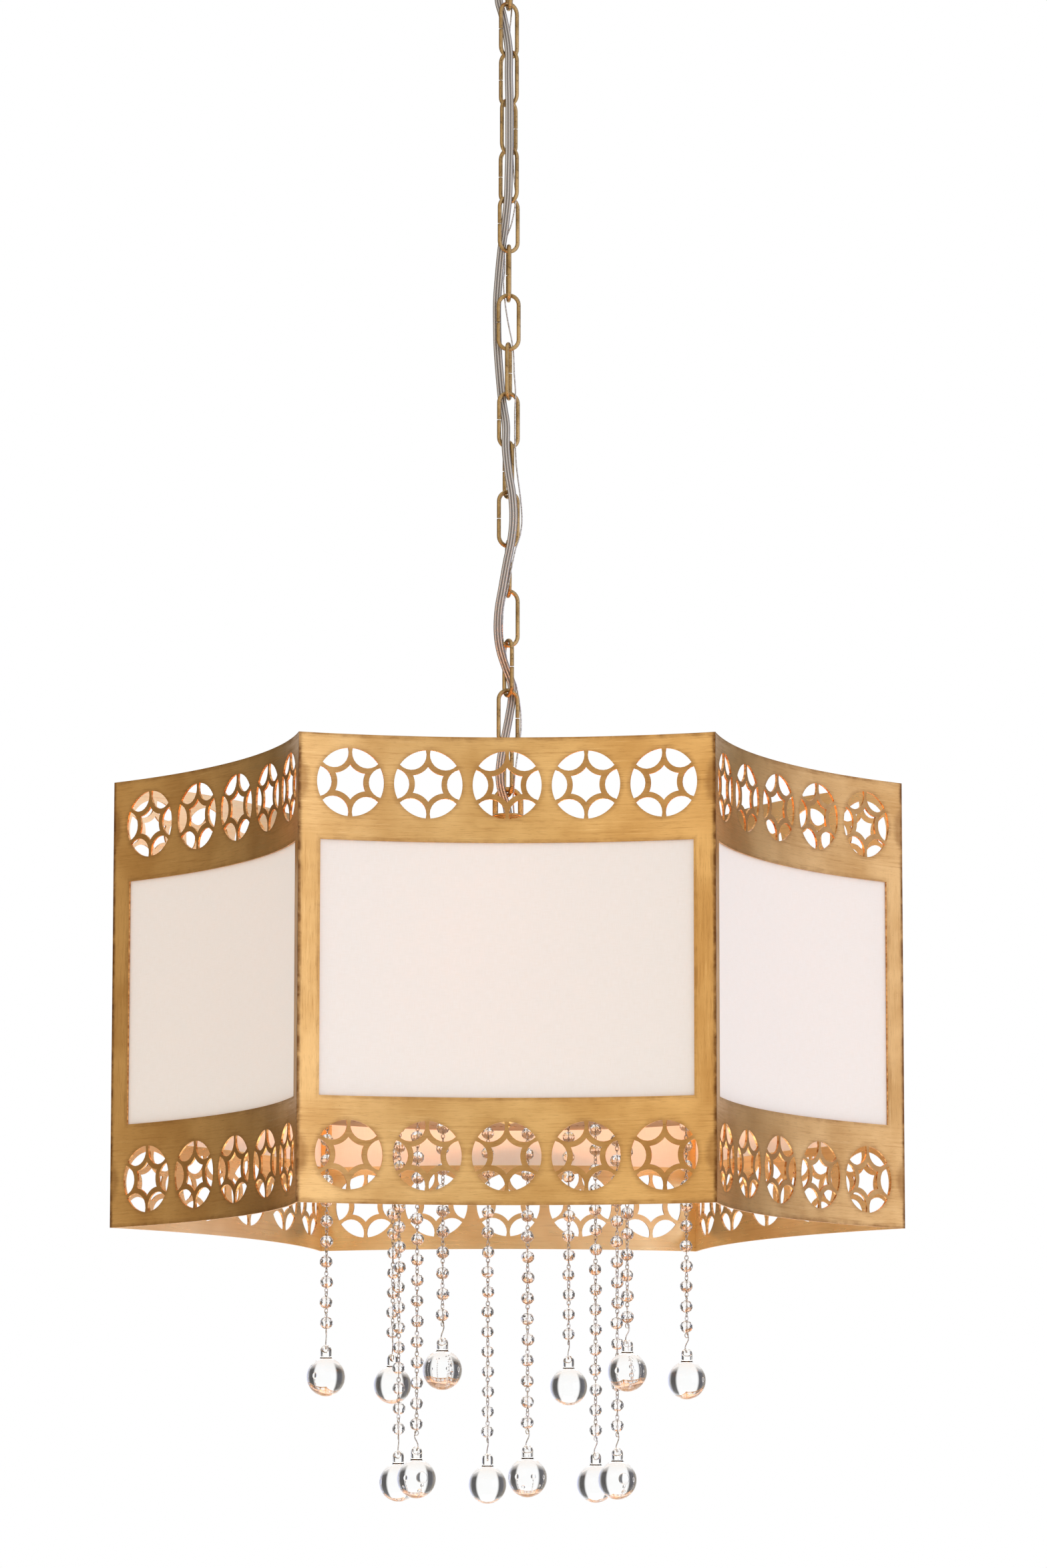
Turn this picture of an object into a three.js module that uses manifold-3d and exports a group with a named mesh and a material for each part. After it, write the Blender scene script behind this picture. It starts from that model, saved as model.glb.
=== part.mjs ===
// Hanging lantern: a six-sided drum of pierced, inward-bowed brass sheets with linen
// diffusers, hung on a chain from a ceiling canopy, with twelve glass-bead strands below.
// Millimetres, +Z up. The origin is the centre of the canopy's flat ceiling face.
import * as THREE from 'three';
import { mergeVertices } from 'three/addons/utils/BufferGeometryUtils.js';
import Module from 'manifold-3d';

const wasm = await Module();
wasm.setup();

// ---------- driving dimensions ----------

const GAP = 0.3; // air left between pieces that touch on the real lantern
const CUT_OVERRUN = 2; // how far a cutter reaches past what it cuts

// frame of six pierced sheets
const PANEL_COUNT = 6;
const FRAME_RADIUS = 305; // centre to corner edge
const FRAME_HEIGHT = 345;
const PANEL_SAGITTA = 28.4; // how far each sheet bows in at its middle
const SHEET = 1.5;
const BAND = 78.5; // pierced band above and below the window
const STILE = 17; // plain strip beside the window
const END_STRIP = 10.5; // plain strip outside the last medallion's bay

// pierced medallions
const MEDALLION_RADIUS = 25.4;
const MEDALLION_SPACE = 5; // least metal between two medallions
const MEDALLION_INSET = 35.6; // centre of a row from the sheet's top or bottom edge
const PETALS = 6;
const PETAL_RADIUS = 11.5; // arc that hollows each petal, centred on the medallion's rim
const RIB = 4; // metal between the petals and the star

// linen diffusers
const LINEN = 1;
const LINEN_LAP = 11; // how far the linen reaches behind the metal around the window
const LINEN_END_LAP = 6;

// chain: the turn of each link about the vertical, and the side of its butt joint, from below
const LINK_LENGTH = 46.4;
const LINK_WIDTH = 19;
const LINK_WIRE = 3.2;
const LINK_SLOT = 0.8;
const LINK_GAP = 0.8; // a link may hang turned against its neighbour, so it keeps more air
const LINK_TURNS = [112, 22, 112, 22, 98, 22, 112, 22, 81, 0, 94, 27, 144, 47, 143, 37, 100];
const LINK_SLOT_SIDES = [-1, 1, -1, -1, -1, -1, 1, -1, 1, -1, 1, -1, 1, 1, 1, -1, 1];

// loops that hold the chain's two ends
const LOOP_WIRE = 4.3;
const LOOP_RADIUS = 9.8; // to the middle of the wire
const LOOP_LEG = 10;
const LOOP_COLLAR_RADIUS = 12.5;
const LOOP_COLLAR_HEIGHT = 9;
const LOOP_BORE = 7.5; // mouth that the cord runs into
const LOOP_MOUTH = 4; // depth of that mouth
const CANOPY_LOOP_TURN = 10;

// ceiling canopy
const CANOPY_RADIUS = 64;
const CANOPY_DEPTH = 28;
const CANOPY_WALL = 1.2;
const CANOPY_CROWN_RADIUS = 26; // flat bottom around the loop
const STRAP_LENGTH = 104;
const STRAP_WIDTH = 20;
const STRAP_THICKNESS = 2.5;
const STRAP_HOLE_PITCH = 84;
const STRAP_HOLE_RADIUS = 2.4;
const HANGER_WIDTH = 34;
const HANGER_DEPTH = 16;
const NIPPLE_RADIUS = 6.5;
const NIPPLE_BORE = 5;
const NIPPLE_PROUD = 1.5; // thread showing past the nut
const NUT_RADIUS = 10.5; // to the corners
const NUT_HEIGHT = 4;

// inside the lantern
const LOOP_BELOW_RIM = 3; // top of the hanging loop below the sheets' top edge
const ROD_RADIUS = 6.5;
const ROD_BORE = 5;
const ROD_BELOW_PLATE = 5;
const SPIDER_HUB_RADIUS = 24;
const SPIDER_ARM_WIDTH = 12;
const SPIDER_THICKNESS = 2.5;
const SPIDER_CLEARANCE = 2; // spider above the linen's top edge
const LAMP_COUNT = 3;
const LAMP_TURN = -100;
const LAMP_TILT = 12; // lamps lean up from level
const LAMP_DROP = 12; // lamps below the middle of the space between plate and spider
const CLUSTER_RADIUS = 26;
const CLUSTER_HEIGHT = 34;
const SOCKET_RADIUS = 15.5;
const SOCKET_LENGTH = 58;
const BULB_RADIUS = 29;
const BULB_LENGTH = 104;
const BULB_NECK_RADIUS = 12.5;
const PLATE_CLEARANCE = 21.2; // plate's edge to the middle of each bowed sheet
const PLATE_THICKNESS = 1.5;
const PLATE_HEIGHT = 95; // top of the plate above the sheets' bottom edge
const FINIAL_RADIUS = 9;
const FINIAL_HEIGHT = 16;

// strands of glass beads; ball heights are measured from the sheets' bottom edge
const STRAND_WIRE = 0.7; // radius
const STRAND_HOLE_RADIUS = 2.6;
const STOP_RADIUS = 4; // knot of wire that sits on the plate
const BEAD_RADIUS = 4.9;
const BEAD_PITCH = 15.5;
const BEAD_FIRST_DROP = 12; // least drop from the plate to the middle of the highest bead
const BALL_RADIUS = 14.7;
const BALL_NECK_RADIUS = 4;
const BALL_NECK_LENGTH = 9.5;
const BALL_LINK = 41; // last bead's middle to the ball's middle
const STRANDS_PER_RING = 6;
const STRAND_RINGS = [
  { ring: 'short', radius: 140, turn: 10, ballHeight: -115 },
  { ring: 'long', radius: 89, turn: 40, ballHeight: -193 },
];

// flat supply cord and bare earth wire, woven through the chain
const CORD_WIDTH = 6.5;
const CORD_THICKNESS = 2.8;
const EARTH_RADIUS = 0.6;
const CORD_STEPS = 60;
const CORD_ROUTE = [
  [0, 0, -35], [-0.5, 0, -42], [-5.5, 3, -52], [-8.5, 4.5, -61], [-8, 3.5, -74], [-8, 2.5, -89],
  [-5, 0, -101], [-1.5, -2.5, -119], [0, -6, -133], [0, -8.5, -151], [0.5, -9, -173],
  [0.5, -9.5, -194], [0.5, -9, -213], [0, -8, -232], [-0.5, -5.5, -249], [-2.5, -1.5, -268],
  [-5.5, 1.5, -289], [-7.5, 4, -309], [-9, 5.5, -330], [-9, 6, -349], [-8.5, 5.5, -368],
  [-7, 4.5, -389], [-5, 2.5, -410], [-2, -2.5, -431], [-2, -8.5, -450], [0, -11.5, -470],
  [3, -13, -489], [4, -13.5, -507], [2.5, -13.5, -524], [-1, -13, -542], [-4.5, -12, -562],
  [-7.5, -10.5, -580], [-8, -7.5, -597], [-6, -3.5, -610], [-2, 1, -622], [2.5, 6, -634],
  [3, 6.5, -645], [1, 1, -660], [-2, -5, -677], [-5.5, -8, -696], [-6.5, -8, -708],
  [-5.5, -6.5, -718], [-3, -3.5, -726], [-0.5, -1, -734], [0, 0, -742],
];
const EARTH_ROUTE = [
  [0, 3.5, -38], [1, 4.5, -46], [2.5, 5, -56], [3, 5.5, -66], [3.5, 6, -78], [2.5, 5.5, -90],
  [1.5, 4, -103], [0.5, 0.5, -116], [0, -3, -130], [0, -5, -150], [2, -6, -173], [3, -6, -194],
  [3, -5.5, -213], [4, -3, -232], [5.5, -0.5, -249], [2.5, 1.5, -268], [-3, 4.5, -284],
  [-3, 5, -305], [-4, 4, -315], [-3.5, 3, -325], [-2, 2.5, -338], [0, 3.5, -350],
  [2.5, 4, -362], [4, 4, -374], [4.5, 2, -389], [5.5, -0.5, -405], [5, -2, -420], [5, -4, -430],
  [5, -6, -441], [5.5, -8.5, -452], [6.5, -10, -467], [8, -11, -479], [9.5, -11, -491],
  [10.5, -11, -503], [10.5, -10.5, -511], [9, -10.5, -521], [6, -11, -530], [2.5, -11, -546],
  [-0.5, -10, -562], [-3.5, -7.5, -575], [-4.5, -4, -590], [-4, 1, -602], [-1.5, 4, -613],
  [-1, 5, -622], [5.5, 8, -633], [7.5, 7, -642], [9.5, 5, -655], [10, 1.5, -670],
  [8.5, -2.5, -683], [7, -5, -694], [6, -6, -702], [5, -5.5, -710], [4.5, -4, -718],
  [4, -2.5, -727], [4.5, -1, -735], [5, 0, -740],
];

// ---------- places worked out from the dimensions ----------

const rad = THREE.MathUtils.degToRad;
const apothem = FRAME_RADIUS * Math.cos(Math.PI / PANEL_COUNT);
const halfChord = FRAME_RADIUS * Math.sin(Math.PI / PANEL_COUNT);
const bowRadius = (halfChord ** 2 + PANEL_SAGITTA ** 2) / (2 * PANEL_SAGITTA);
const bowCentre = apothem - PANEL_SAGITTA + bowRadius; // from the lantern's axis
const bowHalfAngle = Math.asin(halfChord / bowRadius);
const baySpan = 2 * bowHalfAngle * bowRadius - 2 * END_STRIP;
const bayCount = Math.floor(baySpan / (2 * MEDALLION_RADIUS + MEDALLION_SPACE));
const bayAngle = baySpan / bayCount / bowRadius;
const windowHalfAngle = bowHalfAngle - STILE / bowRadius;

const hangerBottom = -STRAP_THICKNESS - HANGER_DEPTH;
const nutLow = hangerBottom + STRAP_THICKNESS + GAP;
const nippleTop = nutLow + NUT_HEIGHT + NIPPLE_PROUD;

const linkTouch = LOOP_WIRE / 2 + LINK_WIRE / 2 + LINK_GAP; // loop's wire to link's wire
const linkPitch = LINK_LENGTH - 2 * LINK_WIRE - LINK_GAP;
const linkReach = (LINK_LENGTH - LINK_WIRE) / 2; // link's middle to its end's wire
const loopReach = LOOP_RADIUS + LOOP_LEG; // bow's wire to the collar
const upperPivot = -CANOPY_DEPTH - GAP - LOOP_COLLAR_HEIGHT - loopReach;
const topLinkCentre = upperPivot + linkTouch - linkReach;
const bottomLinkCentre = topLinkCentre - (LINK_TURNS.length - 1) * linkPitch;
const lowerPivot = bottomLinkCentre - linkReach + linkTouch;

const frameTop = lowerPivot + LOOP_WIRE / 2 + LOOP_BELOW_RIM;
const frameBottom = frameTop - FRAME_HEIGHT;
const spiderBottom = frameTop - BAND + LINEN_LAP + SPIDER_CLEARANCE;
const plateTop = frameBottom + PLATE_HEIGHT;
const plateBottom = plateTop - PLATE_THICKNESS;
const plateRadius = apothem - PANEL_SAGITTA - SHEET - PLATE_CLEARANCE;
const lampMiddle = (plateTop + spiderBottom) / 2 - LAMP_DROP;
const stopHeight = Math.sqrt(STOP_RADIUS ** 2 - STRAND_HOLE_RADIUS ** 2) + GAP;

// ---------- finishes ----------

const finish = (color, roughness, metalness, extra = {}) =>
  new THREE.MeshStandardMaterial({ color, roughness, metalness, ...extra });
const antiqueBrass = () => finish(0xc79a52, 0.42, 0.85);
const agedBrass = () => finish(0xa8854e, 0.4, 0.9);
const steel = () => finish(0xb9b6ae, 0.35, 0.9);
const linen = () => finish(0xf1e9e0, 0.9, 0);
const clearGlass = () => finish(0xeef3f2, 0.05, 0, { transparent: true, opacity: 0.35 });
const clearVinyl = () => finish(0xb5ada2, 0.25, 0);
const frostedBulb = () => finish(0xfff3dd, 0.5, 0);
const blackPhenolic = () => finish(0x1d1b19, 0.5, 0);

// ---------- solids ----------

function toSolid(geometry) {
  const plain = geometry.index ? geometry.toNonIndexed() : geometry.clone();
  for (const name of Object.keys(plain.attributes)) {
    if (name !== 'position') plain.deleteAttribute(name);
  }
  const merged = mergeVertices(plain, 1e-4);
  return new wasm.Manifold(new wasm.Mesh({
    numProp: 3,
    vertProperties: new Float32Array(merged.attributes.position.array),
    triVerts: new Uint32Array(merged.index.array),
  }));
}

function toGeometry(solid) {
  const { vertProperties, triVerts } = solid.getMesh();
  const geometry = new THREE.BufferGeometry();
  geometry.setAttribute('position', new THREE.BufferAttribute(vertProperties, 3));
  geometry.setIndex(new THREE.BufferAttribute(triVerts, 1));
  return geometry;
}

const join = (first, ...rest) =>
  toGeometry(rest.reduce((solid, piece) => solid.add(toSolid(piece)), toSolid(first)));
const cut = (body, cutters) =>
  toGeometry(cutters.reduce((solid, cutter) => solid.subtract(toSolid(cutter)), toSolid(body)));
const trim = (body, keeper) => toGeometry(toSolid(body).intersect(toSolid(keeper)));

/** Prism of a flat outline, from z = low up to z = high. */
function prism(outline, low, high, curveSegments = 12) {
  const shape = outline instanceof THREE.Shape ? outline : new THREE.Shape(outline);
  const depth = high - low;
  return new THREE.ExtrudeGeometry(shape, { depth, bevelEnabled: false, curveSegments })
    .translate(0, 0, low);
}

/** Upright cylinder whose foot is at z = low. */
function post(radius, low, high, sides = 16) {
  return new THREE.CylinderGeometry(radius, radius, high - low, sides)
    .rotateX(Math.PI / 2)
    .translate(0, 0, (low + high) / 2);
}

/** Solid turned about the Z axis; the profile is [radius, z] pairs with the metal on its left. */
function turned(profile, sides) {
  const points = profile.map(([radius, z]) => new THREE.Vector2(radius, z));
  return new THREE.LatheGeometry(points, sides).rotateX(Math.PI / 2);
}

/** [radius, z] pairs along an arc of an ellipse, from one angle to another. */
function arcProfile(centreRadius, centreZ, radius, height, fromDegrees, toDegrees, steps) {
  return Array.from({ length: steps + 1 }, (_, k) => {
    const angle = rad(fromDegrees + ((toDegrees - fromDegrees) * k) / steps);
    return [centreRadius + radius * Math.cos(angle), centreZ + height * Math.sin(angle)];
  });
}

/** Path whose steps land exactly on the given points. */
class StationPath extends THREE.Curve {
  constructor(points) {
    super();
    this.points = points;
  }

  getPoint(t, target = new THREE.Vector3()) {
    const station = Math.min(Math.max(t, 0), 1) * (this.points.length - 1);
    const index = Math.min(Math.floor(station), this.points.length - 2);
    return target.lerpVectors(this.points[index], this.points[index + 1], station - index);
  }

  getUtoTmapping(u) {
    return u;
  }
}

/** Tube of a round or flattened section, swept through the given points. */
function tube(points, halfThickness, halfWidth, sides) {
  const section = Array.from({ length: sides }, (_, k) => {
    const angle = ((k + 0.5) / sides) * 2 * Math.PI;
    return new THREE.Vector2(Math.cos(angle) * halfThickness, Math.sin(angle) * halfWidth);
  });
  return new THREE.ExtrudeGeometry(new THREE.Shape(section), {
    steps: points.length - 1,
    extrudePath: new StationPath(points),
    bevelEnabled: false,
  });
}

const group = new THREE.Group();

function place(parent, name, geometry, material) {
  const mesh = new THREE.Mesh(geometry, material);
  mesh.name = name;
  parent.add(mesh);
  return mesh;
}

const numbered = (name, index) => `${name}_${String(index + 1).padStart(2, '0')}`;

// ---------- canopy ----------

function makeCanopy() {
  const edge = 4; // straight lip at the ceiling
  const hole = NIPPLE_RADIUS + GAP;
  const swell = CANOPY_RADIUS - CANOPY_CROWN_RADIUS;
  const shell = turned([
    [hole, -CANOPY_DEPTH],
    ...arcProfile(CANOPY_CROWN_RADIUS, -edge, swell, CANOPY_DEPTH - edge, -90, 0, 4),
    [CANOPY_RADIUS, 0],
    [CANOPY_RADIUS - CANOPY_WALL, 0],
    ...arcProfile(CANOPY_CROWN_RADIUS, -edge, swell - CANOPY_WALL,
      CANOPY_DEPTH - edge - CANOPY_WALL, 0, -90, 4),
    [hole, -CANOPY_DEPTH + CANOPY_WALL],
    [hole, -CANOPY_DEPTH],
  ], 16);
  place(group, 'ceiling_canopy', shell, antiqueBrass());

  const half = HANGER_WIDTH / 2;
  const outline = new THREE.Shape([
    [-STRAP_LENGTH / 2, 0], [-STRAP_LENGTH / 2, -STRAP_THICKNESS], [-half, -STRAP_THICKNESS],
    [-half, hangerBottom], [half, hangerBottom], [half, -STRAP_THICKNESS],
    [STRAP_LENGTH / 2, -STRAP_THICKNESS], [STRAP_LENGTH / 2, 0],
  ].map(([x, y]) => new THREE.Vector2(x, y)));
  const inner = half - STRAP_THICKNESS;
  outline.holes.push(new THREE.Path([
    [-inner, -STRAP_THICKNESS], [inner, -STRAP_THICKNESS],
    [inner, hangerBottom + STRAP_THICKNESS], [-inner, hangerBottom + STRAP_THICKNESS],
  ].map(([x, y]) => new THREE.Vector2(x, y))));
  const strap = prism(outline, -STRAP_WIDTH / 2, STRAP_WIDTH / 2).rotateX(Math.PI / 2);
  const screwHoles = [-1, 1].map((side) =>
    post(STRAP_HOLE_RADIUS, -STRAP_THICKNESS - CUT_OVERRUN, CUT_OVERRUN, 8)
      .translate((side * STRAP_HOLE_PITCH) / 2, 0, 0));
  const nippleHole = post(hole, hangerBottom - CUT_OVERRUN, hangerBottom + STRAP_THICKNESS + 1, 12);
  place(group, 'mounting_strap', cut(strap, [...screwHoles, nippleHole]), steel());

  const nut = cut(post(NUT_RADIUS, nutLow, nutLow + NUT_HEIGHT, 6),
    [post(hole, nutLow - CUT_OVERRUN, nutLow + NUT_HEIGHT + CUT_OVERRUN, 12)]);
  place(group, 'lock_nut', nut, steel());
}

/** Stirrup of round bar: two legs and a half circle, with the bow at z = 0 and the legs up. */
function stirrup() {
  const bow = Array.from({ length: 9 }, (_, k) => {
    const angle = Math.PI + (Math.PI * k) / 8;
    return new THREE.Vector3(
      LOOP_RADIUS * Math.cos(angle), 0, LOOP_RADIUS * (1 + Math.sin(angle)));
  });
  const legTop = loopReach + LOOP_WIRE / 2;
  const ends = [-1, 1].map((side) => new THREE.Vector3(side * LOOP_RADIUS, 0, legTop));
  return tube([ends[0], ...bow, ends[1]], LOOP_WIRE / 2, LOOP_WIRE / 2, 8);
}

function makeLoops() {
  const collarLow = loopReach;
  const collarHigh = collarLow + LOOP_COLLAR_HEIGHT;
  const stemTop = nippleTop - upperPivot;
  const canopyCollar = turned([
    [LOOP_BORE, collarLow],
    [LOOP_COLLAR_RADIUS, collarLow],
    [LOOP_COLLAR_RADIUS, collarHigh],
    [NIPPLE_RADIUS, collarHigh],
    [NIPPLE_RADIUS, stemTop],
    [NIPPLE_BORE, stemTop],
    [NIPPLE_BORE, collarLow + LOOP_MOUTH],
    [LOOP_BORE, collarLow + LOOP_MOUTH],
    [LOOP_BORE, collarLow],
  ], 16);
  const canopyLoop = place(group, 'canopy_loop', join(canopyCollar, stirrup()), agedBrass());
  canopyLoop.position.z = upperPivot;
  canopyLoop.rotation.z = rad(CANOPY_LOOP_TURN);

  const rodSocket = ROD_RADIUS + GAP;
  const hangCollar = turned([
    [LOOP_BORE, collarLow],
    [LOOP_COLLAR_RADIUS, collarLow],
    [LOOP_COLLAR_RADIUS, collarHigh],
    [rodSocket, collarHigh],
    [rodSocket, collarLow + LOOP_MOUTH],
    [LOOP_BORE, collarLow + LOOP_MOUTH],
    [LOOP_BORE, collarLow],
  ], 16);
  const hangLoop = place(group, 'hanging_loop', join(hangCollar, stirrup()), agedBrass());
  hangLoop.position.z = lowerPivot;
  hangLoop.rotation.x = Math.PI;
}

// ---------- chain and cords ----------

/** Oval link of round wire, open by a thin butt joint in the middle of one side. */
function makeLinkGeometry() {
  const bend = (LINK_WIDTH - LINK_WIRE) / 2;
  const straight = (LINK_LENGTH - LINK_WIDTH) / 2;
  const steps = 4;
  const halfCircle = (centreZ, fromAngle) => Array.from({ length: steps + 1 }, (_, k) => {
    const angle = fromAngle + (Math.PI * k) / steps;
    return new THREE.Vector3(bend * Math.cos(angle), 0, centreZ + bend * Math.sin(angle));
  });
  return tube([
    new THREE.Vector3(bend, 0, LINK_SLOT / 2),
    ...halfCircle(straight, 0),
    ...halfCircle(-straight, Math.PI),
    new THREE.Vector3(bend, 0, -LINK_SLOT / 2),
  ], LINK_WIRE / 2, LINK_WIRE / 2, 5);
}

function makeChain() {
  const link = makeLinkGeometry();
  LINK_TURNS.forEach((turn, index) => {
    const mesh = place(group, numbered('chain_link', index), link, agedBrass());
    mesh.position.z = bottomLinkCentre + index * linkPitch;
    mesh.rotation.z = rad(turn + (LINK_SLOT_SIDES[index] < 0 ? 180 : 0));
  });
}

function makeCords() {
  const route = (points) => {
    const stations = points.map((point) => new THREE.Vector3(...point));
    return new THREE.CatmullRomCurve3(stations, false, 'centripetal').getSpacedPoints(CORD_STEPS);
  };
  const cord = tube(route(CORD_ROUTE), CORD_THICKNESS / 2, CORD_WIDTH / 2, 8);
  place(group, 'supply_cord', cord, clearVinyl());
  const earth = tube(route(EARTH_ROUTE), EARTH_RADIUS, EARTH_RADIUS, 8);
  place(group, 'earth_wire', earth, steel());
}

// ---------- frame ----------

/** Point on a bowed sheet's curve, seen from above, for the sheet that faces -Y. */
const bowPoint = (radius, angle) =>
  new THREE.Vector2(radius * Math.sin(angle), -bowCentre + radius * Math.cos(angle));

/** Plan outline of a bowed sheet, in flat facets that break between the medallion bays. */
function bowedStrip(innerRadius, outerRadius, halfAngle, overrun = 0) {
  const breaks = Array.from({ length: bayCount + 1 }, (_, k) => (k - bayCount / 2) * bayAngle)
    .filter((angle) => Math.abs(angle) < halfAngle - 1e-6);
  const angles = [-halfAngle, ...breaks, halfAngle];
  const side = (radius) => {
    const points = angles.map((angle) => bowPoint(radius, angle));
    const stretch = (end, before) => end.add(end.clone().sub(before).setLength(overrun));
    if (overrun > 0) {
      stretch(points[0], points[1]);
      stretch(points[points.length - 1], points[points.length - 2]);
    }
    return points;
  };
  return [...side(innerRadius), ...side(outerRadius).reverse()];
}

const onRim = (radius, angle) => [radius * Math.cos(angle), radius * Math.sin(angle)];

/** Arc about a centre from one point to another, the short way round. */
function arcBetween(shape, centre, radius, from, to) {
  const start = Math.atan2(from[1] - centre[1], from[0] - centre[0]);
  const end = Math.atan2(to[1] - centre[1], to[0] - centre[0]);
  const turn = THREE.MathUtils.euclideanModulo(end - start + Math.PI, 2 * Math.PI) - Math.PI;
  shape.absarc(centre[0], centre[1], radius, start, start + turn, turn < 0);
}

/** The openings of one medallion: a petal at each side and a star in the middle. */
function medallionShapes() {
  const rim = MEDALLION_RADIUS;
  const step = (2 * Math.PI) / PETALS;
  const petalHalf = 2 * Math.asin(PETAL_RADIUS / (2 * rim));
  const petals = Array.from({ length: PETALS }, (_, k) => {
    const petal = new THREE.Shape();
    arcBetween(petal, onRim(rim, k * step), PETAL_RADIUS,
      onRim(rim, k * step + petalHalf), onRim(rim, k * step - petalHalf));
    return petal;
  });
  const hollow = PETAL_RADIUS + RIB;
  const tip = rim * Math.cos(step / 2) - Math.sqrt(hollow ** 2 - (rim * Math.sin(step / 2)) ** 2);
  const star = new THREE.Shape();
  for (let k = 0; k < PETALS; k += 1) {
    arcBetween(star, onRim(rim, k * step), hollow,
      onRim(tip, (k - 0.5) * step), onRim(tip, (k + 0.5) * step));
  }
  return [...petals, star];
}

/** Cutters for one medallion, square to the facet of its bay. */
function medallionCutters(bay, height) {
  const angle = (bay - (bayCount - 1) / 2) * bayAngle;
  const facetRadius = (bowRadius + SHEET / 2) * Math.cos(bayAngle / 2);
  const centre = bowPoint(facetRadius, angle);
  const across = new THREE.Vector3(Math.cos(angle), -Math.sin(angle), 0);
  const up = new THREE.Vector3(0, 0, 1);
  const stand = new THREE.Matrix4()
    .makeBasis(across, up, new THREE.Vector3().crossVectors(across, up))
    .setPosition(centre.x, centre.y, height);
  const reach = SHEET / 2 + CUT_OVERRUN;
  return medallionShapes().map((shape) => prism(shape, -reach, reach, 1).applyMatrix4(stand));
}

function makePanelGeometry() {
  const blank = prism(bowedStrip(bowRadius, bowRadius + SHEET, bowHalfAngle, CUT_OVERRUN),
    0, FRAME_HEIGHT);
  const far = 2 * FRAME_RADIUS;
  const farHalf = far * Math.tan(Math.PI / PANEL_COUNT);
  const wedge = prism([
    new THREE.Vector2(0, -GAP),
    new THREE.Vector2(-farHalf, -GAP - far),
    new THREE.Vector2(farHalf, -GAP - far),
  ], -CUT_OVERRUN, FRAME_HEIGHT + CUT_OVERRUN);
  const windowHalf = bowRadius * Math.sin(windowHalfAngle);
  const window = new THREE.BoxGeometry(2 * windowHalf, 4 * PANEL_SAGITTA, FRAME_HEIGHT - 2 * BAND)
    .translate(0, -apothem + PANEL_SAGITTA, FRAME_HEIGHT / 2);
  const cutters = [window];
  for (const height of [MEDALLION_INSET, FRAME_HEIGHT - MEDALLION_INSET]) {
    for (let bay = 0; bay < bayCount; bay += 1) cutters.push(...medallionCutters(bay, height));
  }
  return cut(trim(blank, wedge), cutters);
}

function makeFrame() {
  const panel = makePanelGeometry();
  const linenInner = bowRadius + SHEET + GAP;
  const lapAngle = LINEN_END_LAP / bowRadius;
  const diffuser = prism(bowedStrip(linenInner, linenInner + LINEN, windowHalfAngle + lapAngle),
    BAND - LINEN_LAP, FRAME_HEIGHT - BAND + LINEN_LAP);
  for (let index = 0; index < PANEL_COUNT; index += 1) {
    const side = new THREE.Group();
    side.position.z = frameBottom;
    side.rotation.z = (index * 2 * Math.PI) / PANEL_COUNT;
    group.add(side);
    place(side, numbered('side_panel', index), panel, antiqueBrass());
    place(side, numbered('linen_diffuser', index), diffuser, linen());
  }
}

// ---------- inside the lantern ----------

function makeSpider() {
  const cornerHalf = Math.PI / 2 - Math.PI / PANEL_COUNT - bowHalfAngle;
  const armEnd = FRAME_RADIUS - SPIDER_ARM_WIDTH / 2 / Math.tan(cornerHalf)
    - (SHEET + 2 * GAP) / Math.sin(cornerHalf);
  const arms = Array.from({ length: PANEL_COUNT }, (_, k) =>
    new THREE.BoxGeometry(armEnd - SPIDER_HUB_RADIUS / 2, SPIDER_ARM_WIDTH, SPIDER_THICKNESS)
      .translate((armEnd + SPIDER_HUB_RADIUS / 2) / 2, 0, spiderBottom + SPIDER_THICKNESS / 2)
      .rotateZ((k * 2 * Math.PI) / PANEL_COUNT));
  const spiderTop = spiderBottom + SPIDER_THICKNESS;
  const hub = post(SPIDER_HUB_RADIUS, spiderBottom, spiderTop, 24);
  const bore = post(ROD_RADIUS + GAP, spiderBottom - CUT_OVERRUN, spiderTop + CUT_OVERRUN, 12);
  place(group, 'frame_spider', cut(join(hub, ...arms), [bore]), antiqueBrass());
}

function makeRodAndFinial() {
  const rodTop = lowerPivot - loopReach - LOOP_MOUTH - GAP;
  const rodEnd = plateBottom - ROD_BELOW_PLATE;
  const rod = turned([
    [ROD_BORE, rodEnd], [ROD_RADIUS, rodEnd], [ROD_RADIUS, rodTop], [ROD_BORE, rodTop],
    [ROD_BORE, rodEnd],
  ], 12);
  place(group, 'centre_rod', rod, agedBrass());

  const high = plateBottom - GAP;
  const low = high - FINIAL_HEIGHT;
  const socket = ROD_RADIUS + GAP;
  const finial = turned([
    [0, low],
    ...arcProfile(0, low + FINIAL_RADIUS, FINIAL_RADIUS, FINIAL_RADIUS, -60, 0, 2),
    [FINIAL_RADIUS, high - 2],
    [FINIAL_RADIUS + 3, high],
    [socket, high],
    [socket, rodEnd - GAP],
    [0, rodEnd - GAP],
  ], 16);
  place(group, 'finial', finial, antiqueBrass());
}

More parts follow.
